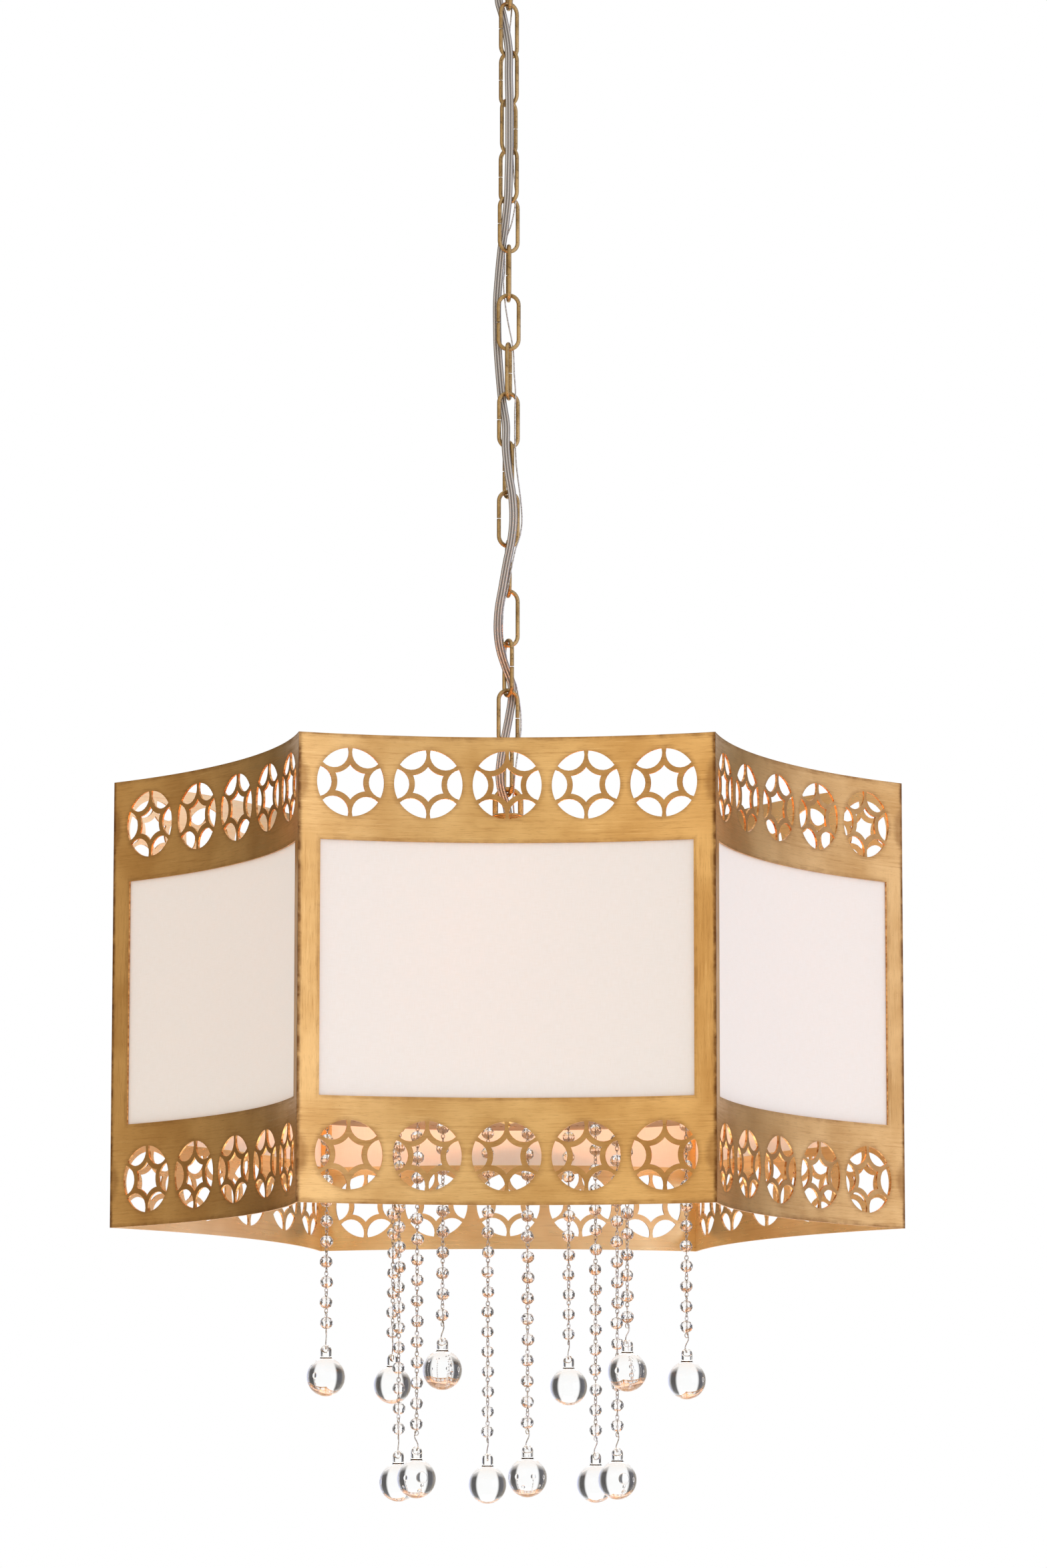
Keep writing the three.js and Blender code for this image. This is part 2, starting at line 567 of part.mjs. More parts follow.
function makeLamps() {
  const mid = lampMiddle;
  const low = mid - CLUSTER_HEIGHT / 2;
  const cluster = cut(post(CLUSTER_RADIUS, low, low + CLUSTER_HEIGHT, 16),
    [post(ROD_RADIUS + GAP, low - CUT_OVERRUN, low + CLUSTER_HEIGHT + CUT_OVERRUN, 12)]);
  place(group, 'lamp_cluster', cluster, agedBrass());

  const neck = BULB_NECK_RADIUS;
  const mouth = SOCKET_LENGTH / 2;
  const clearance = post(CLUSTER_RADIUS + GAP,
    low - SOCKET_RADIUS, low + CLUSTER_HEIGHT + SOCKET_RADIUS, 24);
  for (let index = 0; index < LAMP_COUNT; index += 1) {
    const aim = new THREE.Matrix4()
      .makeRotationZ(rad(LAMP_TURN + (index * 360) / LAMP_COUNT))
      .multiply(new THREE.Matrix4().makeTranslation(0, 0, mid))
      .multiply(new THREE.Matrix4().makeRotationY(rad(90 - LAMP_TILT)))
      .multiply(new THREE.Matrix4().makeTranslation(0, 0, CLUSTER_RADIUS - 6));
    const socket = turned([
      [0, 0], [SOCKET_RADIUS, 0], [SOCKET_RADIUS, SOCKET_LENGTH], [neck + GAP, SOCKET_LENGTH],
      [neck + GAP, mouth], [0, mouth],
    ], 12).applyMatrix4(aim);
    place(group, numbered('lamp_socket', index), cut(socket, [clearance]), blackPhenolic());
    const shoulder = mouth + BULB_LENGTH - BULB_RADIUS;
    const bulb = turned([
      [0, mouth + GAP],
      [neck, mouth + GAP],
      [neck, SOCKET_LENGTH + 4],
      [BULB_RADIUS * 0.8, shoulder - BULB_RADIUS * 0.6],
      ...arcProfile(0, shoulder, BULB_RADIUS, BULB_RADIUS, 0, 90, 3),
    ], 12).applyMatrix4(aim);
    place(group, numbered('bulb', index), bulb, frostedBulb());
  }
}

// ---------- bottom plate and strands ----------

const strandPlaces = STRAND_RINGS.flatMap(({ ring, radius, turn, ballHeight }) =>
  Array.from({ length: STRANDS_PER_RING }, (_, k) => ({
    name: numbered(`${ring}_strand`, k),
    radius,
    ballHeight,
    angle: rad(turn + (k * 360) / STRANDS_PER_RING),
  })));

function makePlate() {
  const low = plateBottom - CUT_OVERRUN;
  const high = plateTop + CUT_OVERRUN;
  const holes = strandPlaces.map(({ radius, angle }) =>
    post(STRAND_HOLE_RADIUS, low, high, 6)
      .translate(radius * Math.cos(angle), radius * Math.sin(angle), 0));
  const plate = cut(post(plateRadius, plateBottom, plateTop, 40),
    [post(ROD_RADIUS + GAP, low, high, 12), ...holes]);
  place(group, 'bottom_plate', plate, agedBrass());
}

/** One strand as a single turned solid: stop, wire, beads and ball; z = 0 is the stop's centre. */
function makeStrandGeometry(ballCentre) {
  const lastBead = ballCentre + BALL_LINK;
  const firstBead = -stopHeight - PLATE_THICKNESS - BEAD_FIRST_DROP;
  const beadCount = Math.floor((firstBead - lastBead) / BEAD_PITCH) + 1;
  const neckBase = Math.sqrt(BALL_RADIUS ** 2 - BALL_NECK_RADIUS ** 2);
  const neckTop = ballCentre + BALL_RADIUS + BALL_NECK_LENGTH;
  const ball = turned([
    ...arcProfile(0, ballCentre, BALL_RADIUS, BALL_RADIUS, -90, 50, 3),
    [BALL_NECK_RADIUS, ballCentre + neckBase],
    [BALL_NECK_RADIUS, neckTop],
    [0, neckTop],
  ], 8);
  const profile = [[0, neckTop - 1], [STRAND_WIRE, neckTop - 1]];
  for (let k = 0; k < beadCount; k += 1) {
    const z = lastBead + k * BEAD_PITCH;
    profile.push([STRAND_WIRE, z - BEAD_PITCH / 2], [BEAD_RADIUS, z]);
  }
  profile.push([STRAND_WIRE, firstBead + BEAD_PITCH / 2],
    ...arcProfile(0, 0, STOP_RADIUS, STOP_RADIUS, -80, 90, 3));
  return join(ball, turned(profile, 4));
}

function makeStrands() {
  for (const { name, radius, angle, ballHeight } of strandPlaces) {
    const stopCentre = plateTop + stopHeight;
    const geometry = makeStrandGeometry(frameBottom + ballHeight - stopCentre);
    const mesh = place(group, name, geometry, clearGlass());
    mesh.position.set(radius * Math.cos(angle), radius * Math.sin(angle), stopCentre);
    mesh.rotation.z = angle;
  }
}

makeCanopy();
makeLoops();
makeChain();
makeCords();
makeFrame();
makeSpider();
makeRodAndFinial();
makeLamps();
makePlate();
makeStrands();

export default group;
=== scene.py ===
"""Looks of the hanging lantern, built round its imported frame.

Metres, +Z up, origin at the centre of the ceiling face. Sizes below are in millimetres, as in
the part's source, and MM turns them into metres where a mesh is made.
"""
import math
import random

import bmesh
import bpy
from mathutils import Matrix, Vector
from mathutils.geometry import delaunay_2d_cdt


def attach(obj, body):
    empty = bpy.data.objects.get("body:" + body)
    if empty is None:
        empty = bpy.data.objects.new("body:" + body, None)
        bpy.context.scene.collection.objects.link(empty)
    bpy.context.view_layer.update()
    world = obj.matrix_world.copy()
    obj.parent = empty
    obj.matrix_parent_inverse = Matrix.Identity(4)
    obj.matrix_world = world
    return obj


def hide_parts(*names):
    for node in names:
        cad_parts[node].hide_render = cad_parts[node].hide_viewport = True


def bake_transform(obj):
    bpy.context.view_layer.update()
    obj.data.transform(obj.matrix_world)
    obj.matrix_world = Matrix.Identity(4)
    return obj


MM = 0.001
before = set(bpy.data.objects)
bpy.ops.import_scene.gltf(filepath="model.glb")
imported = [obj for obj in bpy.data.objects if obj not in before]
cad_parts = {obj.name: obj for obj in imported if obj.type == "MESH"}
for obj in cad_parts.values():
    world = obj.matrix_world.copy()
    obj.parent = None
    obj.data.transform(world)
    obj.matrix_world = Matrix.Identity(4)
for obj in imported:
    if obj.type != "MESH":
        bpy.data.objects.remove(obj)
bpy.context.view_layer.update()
rng = random.Random(7)

# ---------- sizes, as in the part's source ----------

GAP = 0.3
FRAME_RADIUS = 305
FRAME_HEIGHT = 345
PANEL_SAGITTA = 28.4
SHEET = 1.5
BAND = 78.5
STILE = 17
MEDALLION_RADIUS = 25.4
MEDALLION_INSET = 35.6
MEDALLION_PITCH = 58.2
MEDALLION_COUNT = 5
PETALS = 6
PETAL_RADIUS = 11.5
RIB = 4
LINEN = 1
LINEN_LAP = 11
LINEN_END_LAP = 6

LINK_LENGTH = 46.4
LINK_WIDTH = 19
LINK_WIRE = 3.2
LINK_SLOT = 0.8
LINK_PITCH = 39.2
BOTTOM_LINK = -701.35
LINK_TURNS = [112, 22, 112, 22, 98, 22, 112, 22, 81, 0, 94, 27, 144, 47, 143, 37, 100]
LINK_SLOT_SIDES = [-1, 1, -1, -1, -1, -1, 1, -1, 1, -1, 1, -1, 1, 1, 1, -1, 1]

LOOP_WIRE = 4.3
LOOP_RADIUS = 9.8
LOOP_LEG = 10
LOOP_REACH = LOOP_RADIUS + LOOP_LEG
LOOP_COLLAR_RADIUS = 12.5
LOOP_COLLAR_HEIGHT = 9
LOOP_BORE = 7.5
LOOP_MOUTH = 4
UPPER_PIVOT = -57.1
LOWER_PIVOT = -718.4
CANOPY_LOOP_TURN = 10

CANOPY_RADIUS = 64
CANOPY_DEPTH = 28
CANOPY_WALL = 1.2
CANOPY_CROWN_RADIUS = 26
NIPPLE_RADIUS = 6.5
NIPPLE_BORE = 5
NIPPLE_TOP = -10.2

FRAME_TOP = -713.25
FRAME_BOTTOM = FRAME_TOP - FRAME_HEIGHT
SPIDER_BOTTOM = -778.75
SPIDER_THICKNESS = 2.5
SPIDER_HUB = 24
ARM_WIDTH = 12
ROD_RADIUS = 6.5
PLATE_RADIUS = 213.04
PLATE_THICKNESS = 1.5
PLATE_TOP = FRAME_BOTTOM + 95
PLATE_BOTTOM = PLATE_TOP - PLATE_THICKNESS
VENT_RADIUS = 176
VENT_HOLE = 1.5
VENT_STEP = 5.6
FINIAL_RADIUS = 9
FINIAL_HEIGHT = 16
LAMP_TURN = -100
LAMP_TILT = 12
LAMP_MID = FRAME_BOTTOM + 175.25
CLUSTER_RADIUS = 26
CLUSTER_HEIGHT = 34
SOCKET_RADIUS = 15.5
SOCKET_START = 6.5
SOCKET_LENGTH = 58
BULB_RADIUS = 29
BULB_LENGTH = 104
BULB_NECK_RADIUS = 12.5
LAMP_GLOW = 15.0

BEAD_RADIUS = 4.9
BEAD_PITCH = 15.5
BEAD_FIRST_DROP = 12
BEAD_ROWS = [(0.36, -0.92), (0.70, -0.70), (0.94, -0.27), (0.94, 0.27), (0.70, 0.70), (0.36, 0.92)]
BALL_RADIUS = 14.7
BALL_NECK_LENGTH = 9.5
BALL_LINK = 41
STOP_RADIUS = 4
STRAND_HOLE = 2.6
STOP_HEIGHT = math.sqrt(STOP_RADIUS**2 - STRAND_HOLE**2) + GAP
STRAND_RINGS = [("short", 140, 10, -115), ("long", 89, 40, -193)]

CORD_WIDTH = 6.5
CORD_THICKNESS = 2.8
EARTH_RADIUS = 0.6
CORD_ROUTE = [
    [0, 0, -35], [-0.5, 0, -42], [-5.5, 3, -52], [-8.5, 4.5, -61], [-8, 3.5, -74], [-8, 2.5, -89],
    [-5, 0, -101], [-1.5, -2.5, -119], [0, -6, -133], [0, -8.5, -151], [0.5, -9, -173],
    [0.5, -9.5, -194], [0.5, -9, -213], [0, -8, -232], [-0.5, -5.5, -249], [-2.5, -1.5, -268],
    [-5.5, 1.5, -289], [-7.5, 4, -309], [-9, 5.5, -330], [-9, 6, -349], [-8.5, 5.5, -368],
    [-7, 4.5, -389], [-5, 2.5, -410], [-2, -2.5, -431], [-2, -8.5, -450], [0, -11.5, -470],
    [3, -13, -489], [4, -13.5, -507], [2.5, -13.5, -524], [-1, -13, -542], [-4.5, -12, -562],
    [-7.5, -10.5, -580], [-8, -7.5, -597], [-6, -3.5, -610], [-2, 1, -622], [2.5, 6, -634],
    [3, 6.5, -645], [1, 1, -660], [-2, -5, -677], [-5.5, -8, -696], [-6.5, -8, -708],
    [-5.5, -6.5, -718], [-3, -3.5, -726], [-0.5, -1, -734], [0, 0, -742],
]
EARTH_ROUTE = [
    [0, 3.5, -38], [1, 4.5, -46], [2.5, 5, -56], [3, 5.5, -66], [3.5, 6, -78], [2.5, 5.5, -90],
    [1.5, 4, -103], [0.5, 0.5, -116], [0, -3, -130], [0, -5, -150], [2, -6, -173], [3, -6, -194],
    [3, -5.5, -213], [4, -3, -232], [5.5, -0.5, -249], [2.5, 1.5, -268], [-3, 4.5, -284],
    [-3, 5, -305], [-4, 4, -315], [-3.5, 3, -325], [-2, 2.5, -338], [0, 3.5, -350],
    [2.5, 4, -362], [4, 4, -374], [4.5, 2, -389], [5.5, -0.5, -405], [5, -2, -420], [5, -4, -430],
    [5, -6, -441], [5.5, -8.5, -452], [6.5, -10, -467], [8, -11, -479], [9.5, -11, -491],
    [10.5, -11, -503], [10.5, -10.5, -511], [9, -10.5, -521], [6, -11, -530], [2.5, -11, -546],
    [-0.5, -10, -562], [-3.5, -7.5, -575], [-4.5, -4, -590], [-4, 1, -602], [-1.5, 4, -613],
    [-1, 5, -622], [5.5, 8, -633], [7.5, 7, -642], [9.5, 5, -655], [10, 1.5, -670],
    [8.5, -2.5, -683], [7, -5, -694], [6, -6, -702], [5, -5.5, -710], [4.5, -4, -718],
    [4, -2.5, -727], [4.5, -1, -735], [5, 0, -740],
]

CAMERA_LENS = 141.46
CAMERA_PLACE = (0.0126, -4.7268, (FRAME_BOTTOM - 336.9) * MM)
CAMERA_TILT = 8.20
CAMERA_ROLL = -0.05
FLOOR_HALF = 16000
FLOOR_LEVEL = -14000

APOTHEM = FRAME_RADIUS * math.cos(math.pi / 6)
HALF_CHORD = FRAME_RADIUS * math.sin(math.pi / 6)
BOW_RADIUS = (HALF_CHORD**2 + PANEL_SAGITTA**2) / (2 * PANEL_SAGITTA)
BOW_CENTRE = APOTHEM - PANEL_SAGITTA + BOW_RADIUS
BOW_HALF_ANGLE = math.asin(HALF_CHORD / BOW_RADIUS)
HALF_SHEET = BOW_HALF_ANGLE * BOW_RADIUS
HALF_WINDOW = HALF_SHEET - STILE


# ---------- mesh helpers ----------

class Shape:
    """Faces gathered from several pieces, in millimetres, each with a material number."""

    def __init__(self):
        self.verts = []
        self.faces = []
        self.numbers = []
        self.smooth = []

    def add(self, piece, number=0, smooth=True, matrix=None):
        verts, faces = piece
        start = len(self.verts)
        self.verts += [matrix @ Vector(v) if matrix else Vector(v) for v in verts]
        self.faces += [[start + i for i in face] for face in faces]
        self.numbers += [number] * len(faces)
        self.smooth += [smooth] * len(faces)
        return self

    def make(self, name, looks, auto_smooth=40):
        """The mesh as a piece in the scene; edges bent by more than auto_smooth stay sharp."""
        mesh = bpy.data.meshes.new(name)
        mesh.from_pydata([v * MM for v in self.verts], [], self.faces)
        mesh.polygons.foreach_set("material_index", self.numbers)
        mesh.polygons.foreach_set("use_smooth", self.smooth)
        for look in looks:
            mesh.materials.append(look)
        mesh.validate()
        work = bmesh.new()
        work.from_mesh(mesh)
        bmesh.ops.recalc_face_normals(work, faces=work.faces)
        limit = math.radians(auto_smooth)
        for edge in work.edges:
            if len(edge.link_faces) == 2 and edge.calc_face_angle(0) > limit:
                edge.smooth = False
        work.to_mesh(mesh)
        work.free()
        mesh.update()
        return place(name, mesh)


def place(name, data):
    piece = bpy.data.objects.new(name, data)
    bpy.context.scene.collection.objects.link(piece)
    return piece


def in_metres(matrix):
    """The same placement, with its millimetre offset turned into metres."""
    out = matrix.copy()
    out.translation = matrix.translation * MM
    return out


def lathe(profile, sides):
    """Solid turned about Z from [radius, z] pairs; ends on the axis or closes on itself."""
    verts = []
    rings = []
    for radius, z in profile:
        if abs(radius) < 1e-6:
            rings.append([len(verts)])
            verts.append((0, 0, z))
        else:
            rings.append(list(range(len(verts), len(verts) + sides)))
            verts += [(x, y, z) for x, y in circle(radius, sides)]
    faces = []
    pairs = list(zip(rings, rings[1:]))
    if len(rings[0]) > 1:
        pairs.append((rings[-1], rings[0]))
    for low, high in pairs:
        for k in range(sides):
            n = (k + 1) % sides
            corners = (low[k % len(low)], low[n % len(low)],
                       high[n % len(high)], high[k % len(high)])
            face = tuple(dict.fromkeys(corners))
            if len(face) > 2:
                faces.append(face)
    return verts, faces


def arc(centre_radius, centre_z, radius, height, start, end, steps):
    """[radius, z] pairs along an arc of an ellipse, angles in degrees."""
    out = []
    for k in range(steps + 1):
        a = math.radians(start + (end - start) * k / steps)
        out.append((centre_radius + radius * math.cos(a), centre_z + height * math.sin(a)))
    return out


def frames(points, first=None):
    """Tangent, normal and binormal at each point, carried along without twist."""
    count = len(points)
    tangents = []
    for i in range(count):
        d = points[min(i + 1, count - 1)] - points[max(i - 1, 0)]
        tangents.append(d.normalized())
    t = tangents[0]
    if first is None:
        sizes = [abs(t.x), abs(t.y), abs(t.z)]
        first = Vector([1.0 if sizes.index(min(sizes)) == i else 0.0 for i in range(3)])
    normal = (first - t * first.dot(t)).normalized()
    out = []
    for t in tangents:
        normal = (normal - t * normal.dot(t)).normalized()
        out.append((t, normal, t.cross(normal)))
    return out


def sweep(points, section, ends="cap", first=None):
    """Section of (normal, binormal) pairs swept along points; ends are "cap" or "loop"."""
    points = [Vector(p) for p in points]
    n = len(section)
    verts = []
    for p, (_, normal, binormal) in zip(points, frames(points, first)):
        for a, b in section:
            verts.append(p + normal * a + binormal * b)
    rings = len(points)
    faces = []
    for i in range(rings if ends == "loop" else rings - 1):
        j = (i + 1) % rings
        for k in range(n):
            m = (k + 1) % n
            faces.append((i * n + k, i * n + m, j * n + m, j * n + k))
    if ends == "cap":
        faces.append(tuple(reversed(range(n))))
        faces.append(tuple((rings - 1) * n + k for k in range(n)))
    return verts, faces


def circle(radius, sides):
    return [(radius * math.cos(2 * math.pi * k / sides), radius * math.sin(2 * math.pi * k / sides))
            for k in range(sides)]


def spline(stations, step):
    """Points about step apart along a centripetal Catmull-Rom curve through the stations."""
    p = [Vector(s) for s in stations]
    p = [p[0] * 2 - p[1], *p, p[-1] * 2 - p[-2]]

    def between(a, b, at_a, at_b):
        return a * ((at_b - t) / (at_b - at_a)) + b * ((t - at_a) / (at_b - at_a))

    fine = []
    for i in range(1, len(p) - 2):
        knots = [0.0]
        for a, b in zip(p[i - 1:i + 2], p[i:i + 3]):
            knots.append(knots[-1] + math.sqrt((b - a).length))
        t0, t1, t2, t3 = knots
        for k in range(24):
            t = t1 + (t2 - t1) * k / 24
            early = between(p[i - 1], p[i], t0, t1)
            middle = between(p[i], p[i + 1], t1, t2)
            late = between(p[i + 1], p[i + 2], t2, t3)
            early = between(early, middle, t0, t2)
            late = between(middle, late, t1, t3)
            fine.append(between(early, late, t1, t2))
    fine.append(p[-2])
    length = sum((b - a).length for a, b in zip(fine, fine[1:]))
    count = round(length / step)
    out = [fine[0]]
    target = length / count
    walked = 0.0
    for a, b in zip(fine, fine[1:]):
        span = (b - a).length
        while walked + span >= target * len(out) and len(out) < count:
            out.append(a.lerp(b, (target * len(out) - walked) / span))
        walked += span
    out.append(fine[-1])
    return out, length


# ---------- materials ----------

class Nodes:
    """A node tree, with short calls for the nodes used here."""

    def __init__(self, tree):
        self.tree = tree

    def new(self, kind, **settings):
        node = self.tree.nodes.new(kind)
        for key, value in settings.items():
            setattr(node, key, value)
        return node

    def link(self, source, target):
        self.tree.links.new(source, target)

    def put(self, value, socket):
        if isinstance(value, bpy.types.NodeSocket):
            self.link(value, socket)
        else:
            socket.default_value = value

    def fill(self, node, **values):
        """Give the node's sockets their values or links; _ stands for a space in a name."""
        for name, value in values.items():
            self.put(value, node.inputs[name.replace("_", " ")])
        return node

    def math(self, operation, a, b=0.0, clamp=False):
        node = self.new("ShaderNodeMath", operation=operation, use_clamp=clamp)
        self.put(a, node.inputs[0])
        self.put(b, node.inputs[1])
        return node.outputs[0]

    def plus(self, a, b):
        return self.math("ADD", a, b)

    def minus(self, a, b):
        return self.math("SUBTRACT", a, b)

    def times(self, a, b, clamp=False):
        return self.math("MULTIPLY", a, b, clamp)

    def length(self, a, b):
        return self.math("SQRT", self.plus(self.times(a, a), self.times(b, b)))

    def span(self, value, low, high, to_low=0.0, to_high=1.0, shape="LINEAR"):
        """to_low at low and to_high at high; low may be above high."""
        node = self.new("ShaderNodeMapRange", interpolation_type=shape)
        self.fill(node, Value=value, From_Min=low, From_Max=high, To_Min=to_low, To_Max=to_high)
        return node.outputs["Result"]

    def ramp(self, value, low, high):
        """0 at low and 1 at high, smooth between; low may be above high."""
        return self.span(value, low, high, shape="SMOOTHSTEP")

    def mix(self, share, a, b):
        node = self.new("ShaderNodeMix", data_type="RGBA")
        self.put(share, node.inputs[0])
        self.put(a, node.inputs[6])
        self.put(b, node.inputs[7])
        return node.outputs[2]

    def noise(self, vector, scale, detail, rough, distortion=0.0):
        node = self.new("ShaderNodeTexNoise")
        self.fill(node, Vector=vector, Scale=scale, Detail=detail, Roughness=rough,
                  Distortion=distortion)
        return node.outputs["Fac"]

    def attribute(self, name):
        return self.new("ShaderNodeAttribute", attribute_name=name).outputs["Vector"]

    def coordinates(self, kind):
        return self.new("ShaderNodeTexCoord").outputs[kind]

    def stretched(self, vector, x, y, detail, rough):
        """Noise whose grains are drawn out along the smaller of the two scales."""
        node = self.fill(self.new("ShaderNodeMapping"), Vector=vector, Scale=(x, y, 1))
        return self.noise(node.outputs["Vector"], 1.0, detail, rough)

    def split(self, vector):
        return list(self.fill(self.new("ShaderNodeSeparateXYZ"), Vector=vector).outputs)

    def merged(self, x, y):
        return self.fill(self.new("ShaderNodeCombineXYZ"), X=x, Y=y).outputs[0]


class Look(Nodes):
    """A material of one principled shader."""

    def __init__(self, name):
        self.material = bpy.data.materials.new(name)
        self.material.use_nodes = True
        super().__init__(self.material.node_tree)
        self.shader = self.tree.nodes["Principled BSDF"]

    def paint(self, **values):
        self.fill(self.shader, **values)

    def stain(self, base, tone, value, low, high, strength):
        """The base with the tone over it, from none where value is low to strength where high."""
        return self.mix(self.times(self.ramp(value, low, high), strength), base, tone)

    def relief(self, height, strength, distance):
        node = self.fill(self.new("ShaderNodeBump"), Height=height, Strength=strength,
                         Distance=distance)
        self.link(node.outputs["Normal"], self.shader.inputs["Normal"])

    def finish(self, base, grain, rough, metallic, strength, distance):
        """The whole shader, its roughness and relief following one grain."""
        self.paint(Base_Color=base, Roughness=self.span(grain, 0.2, 0.8, *rough),
                   Metallic=metallic)
        self.relief(grain, strength, distance)
        return self.material


def rgb(red, green, blue):
    """Linear colour from display values of 0 to 255."""
    def one(v):
        v = v / 255
        return v / 12.92 if v <= 0.04045 else ((v + 0.055) / 1.055) ** 2.4
    return (one(red), one(green), one(blue), 1.0)


def sheet_brass():
    """Brushed antique brass of the side sheets: strokes, brown glaze by every edge, specks."""
    n = Look("sheet_brass")
    where = n.attribute("sheet")
    along, up, seed = n.split(where)
    half_height = FRAME_HEIGHT / 2
    off_middle = n.math("ABSOLUTE", n.minus(up, half_height))
    side = n.math("ABSOLUTE", along)
    # distance to the sheet's own outline and to its window
    to_rim = n.math("MINIMUM", n.minus(half_height, off_middle), n.minus(HALF_SHEET, side))
    window = n.math("MAXIMUM", n.minus(side, HALF_WINDOW), n.minus(off_middle, half_height - BAND))
    # distance to the nearest medallion's rim
    bay = n.math("MODULO", n.plus(along, MEDALLION_PITCH * 10.5), MEDALLION_PITCH)
    bay = n.minus(bay, MEDALLION_PITCH / 2)
    row = n.minus(off_middle, half_height - MEDALLION_INSET)
    medallion = n.minus(n.length(bay, row), MEDALLION_RADIUS)
    inside = n.ramp(medallion, 1.5, -2.0)
    seeded = n.new("ShaderNodeVectorMath", operation="ADD")
    n.link(where, seeded.inputs[0])
    n.link(n.merged(n.times(seed, 71.0), n.times(seed, 37.0)), seeded.inputs[1])
    where = seeded.outputs[0]
    # strokes run along the bands and up the strips beside the window
    upright = n.times(n.ramp(n.minus(side, HALF_WINDOW), -1.0, 1.5),
                      n.ramp(off_middle, half_height - BAND + 14, half_height - BAND - 10))
    long_way = n.stretched(where, 0.022, 0.55, 6, 0.7)
    fine_long = n.stretched(where, 0.10, 3.2, 3, 0.6)
    up_way = n.stretched(where, 0.55, 0.022, 6, 0.7)
    fine_up = n.stretched(where, 3.2, 0.10, 3, 0.6)
    strokes = n.mix(upright, long_way, up_way)
    fine = n.mix(upright, fine_long, fine_up)
    blotch = n.noise(where, 0.018, 3, 0.5)
    patch = n.noise(where, 0.09, 4, 0.6, 0.4)
    base = n.mix(n.ramp(blotch, 0.3, 0.7), rgb(206, 157, 91), rgb(232, 186, 118))
    base = n.stain(base, rgb(160, 108, 48), strokes, 0.5, 0.78, 0.55)
    base = n.stain(base, rgb(246, 205, 138), strokes, 0.45, 0.24, 0.6)
    base = n.stain(base, rgb(140, 92, 42), fine, 0.55, 0.72, 0.5)
    # brown glaze held by the edges, broken up by the strokes
    worn = n.plus(n.times(strokes, 7.0), n.times(patch, 2.5))
    near_rim = n.ramp(n.minus(to_rim, worn), 0.0, -6.0)
    near_window = n.times(n.ramp(n.minus(window, worn), -0.5, -5.5), 0.6)
    near_medallion = n.times(n.ramp(n.minus(medallion, worn), -0.5, -5.5), 0.55)
    glaze = n.math("MAXIMUM", n.math("MAXIMUM", near_rim, near_window), near_medallion)
    glaze = n.times(glaze, n.span(patch, 0.25, 0.75, 0.2, 0.85), clamp=True)
    base = n.mix(glaze, base, rgb(126, 80, 36))
    base = n.mix(n.times(inside, 0.3), base, rgb(150, 100, 48))
    # a broken dark line down each soldered corner
    corner = n.ramp(n.minus(HALF_SHEET, side), 3.4, 0.6)
    corner = n.times(corner, n.span(patch, 0.35, 0.6, 0.35, 0.95))
    base = n.mix(corner, base, rgb(104, 64, 28))
    specks = n.noise(where, 1.3, 2, 0.5)
    base = n.stain(base, rgb(92, 56, 26), specks, 0.70, 0.78, 0.55)
    rough = n.span(strokes, 0.25, 0.8, 0.26, 0.42)
    rough = n.plus(rough, n.times(glaze, 0.16))
    n.paint(Base_Color=base, Roughness=rough, Metallic=0.9, Anisotropic=0.35)
    ridges = n.plus(n.times(strokes, 0.6), n.times(fine, 0.4))
    n.relief(ridges, 0.35, 0.00025)
    return n.material


def inner_brass():
    """Plain smooth lacquered brass of the sheets' inner faces."""
    n = Look("inner_brass")
    where = n.attribute("sheet")
    cloud = n.noise(where, 0.02, 3, 0.5)
    streak = n.stretched(where, 0.02, 0.5, 3, 0.5)
    base = n.mix(n.ramp(cloud, 0.3, 0.7), rgb(232, 200, 144), rgb(247, 221, 170))
    base = n.stain(base, rgb(176, 126, 66), streak, 0.5, 0.8, 0.25)
    spot = n.noise(where, 0.5, 2, 0.5)
    base = n.stain(base, rgb(120, 76, 36), spot, 0.73, 0.8, 0.5)
    return n.finish(base, streak, (0.24, 0.36), 0.9, 0.15, 0.0002)


def edge_brass():
    """Bare cut edges of the sheets, brighter and warmer than their faces."""
    n = Look("edge_brass")
    cloud = n.noise(n.attribute("sheet"), 0.35, 3, 0.6)
    base = n.mix(n.ramp(cloud, 0.3, 0.7), rgb(176, 110, 50), rgb(240, 186, 118))
    return n.finish(base, cloud, (0.3, 0.5), 0.8, 0.2, 0.0002)


def brass(name, dark, mid, light, scale=1.0, rough=(0.26, 0.46), speck=0.6):
    """Antiqued brass: mottled, with dark specks, for turned and bent pieces."""
    n = Look(name)
    where = n.coordinates("Object")
    cloud = n.noise(where, 60 * scale, 4, 0.6)
    fine = n.noise(where, 600 * scale, 3, 0.6)
    base = n.mix(n.ramp(cloud, 0.32, 0.68), mid, light)
    base = n.stain(base, dark, fine, 0.54, 0.70, speck)
    return n.finish(base, fine, rough, 0.92, 0.25, 0.0003)


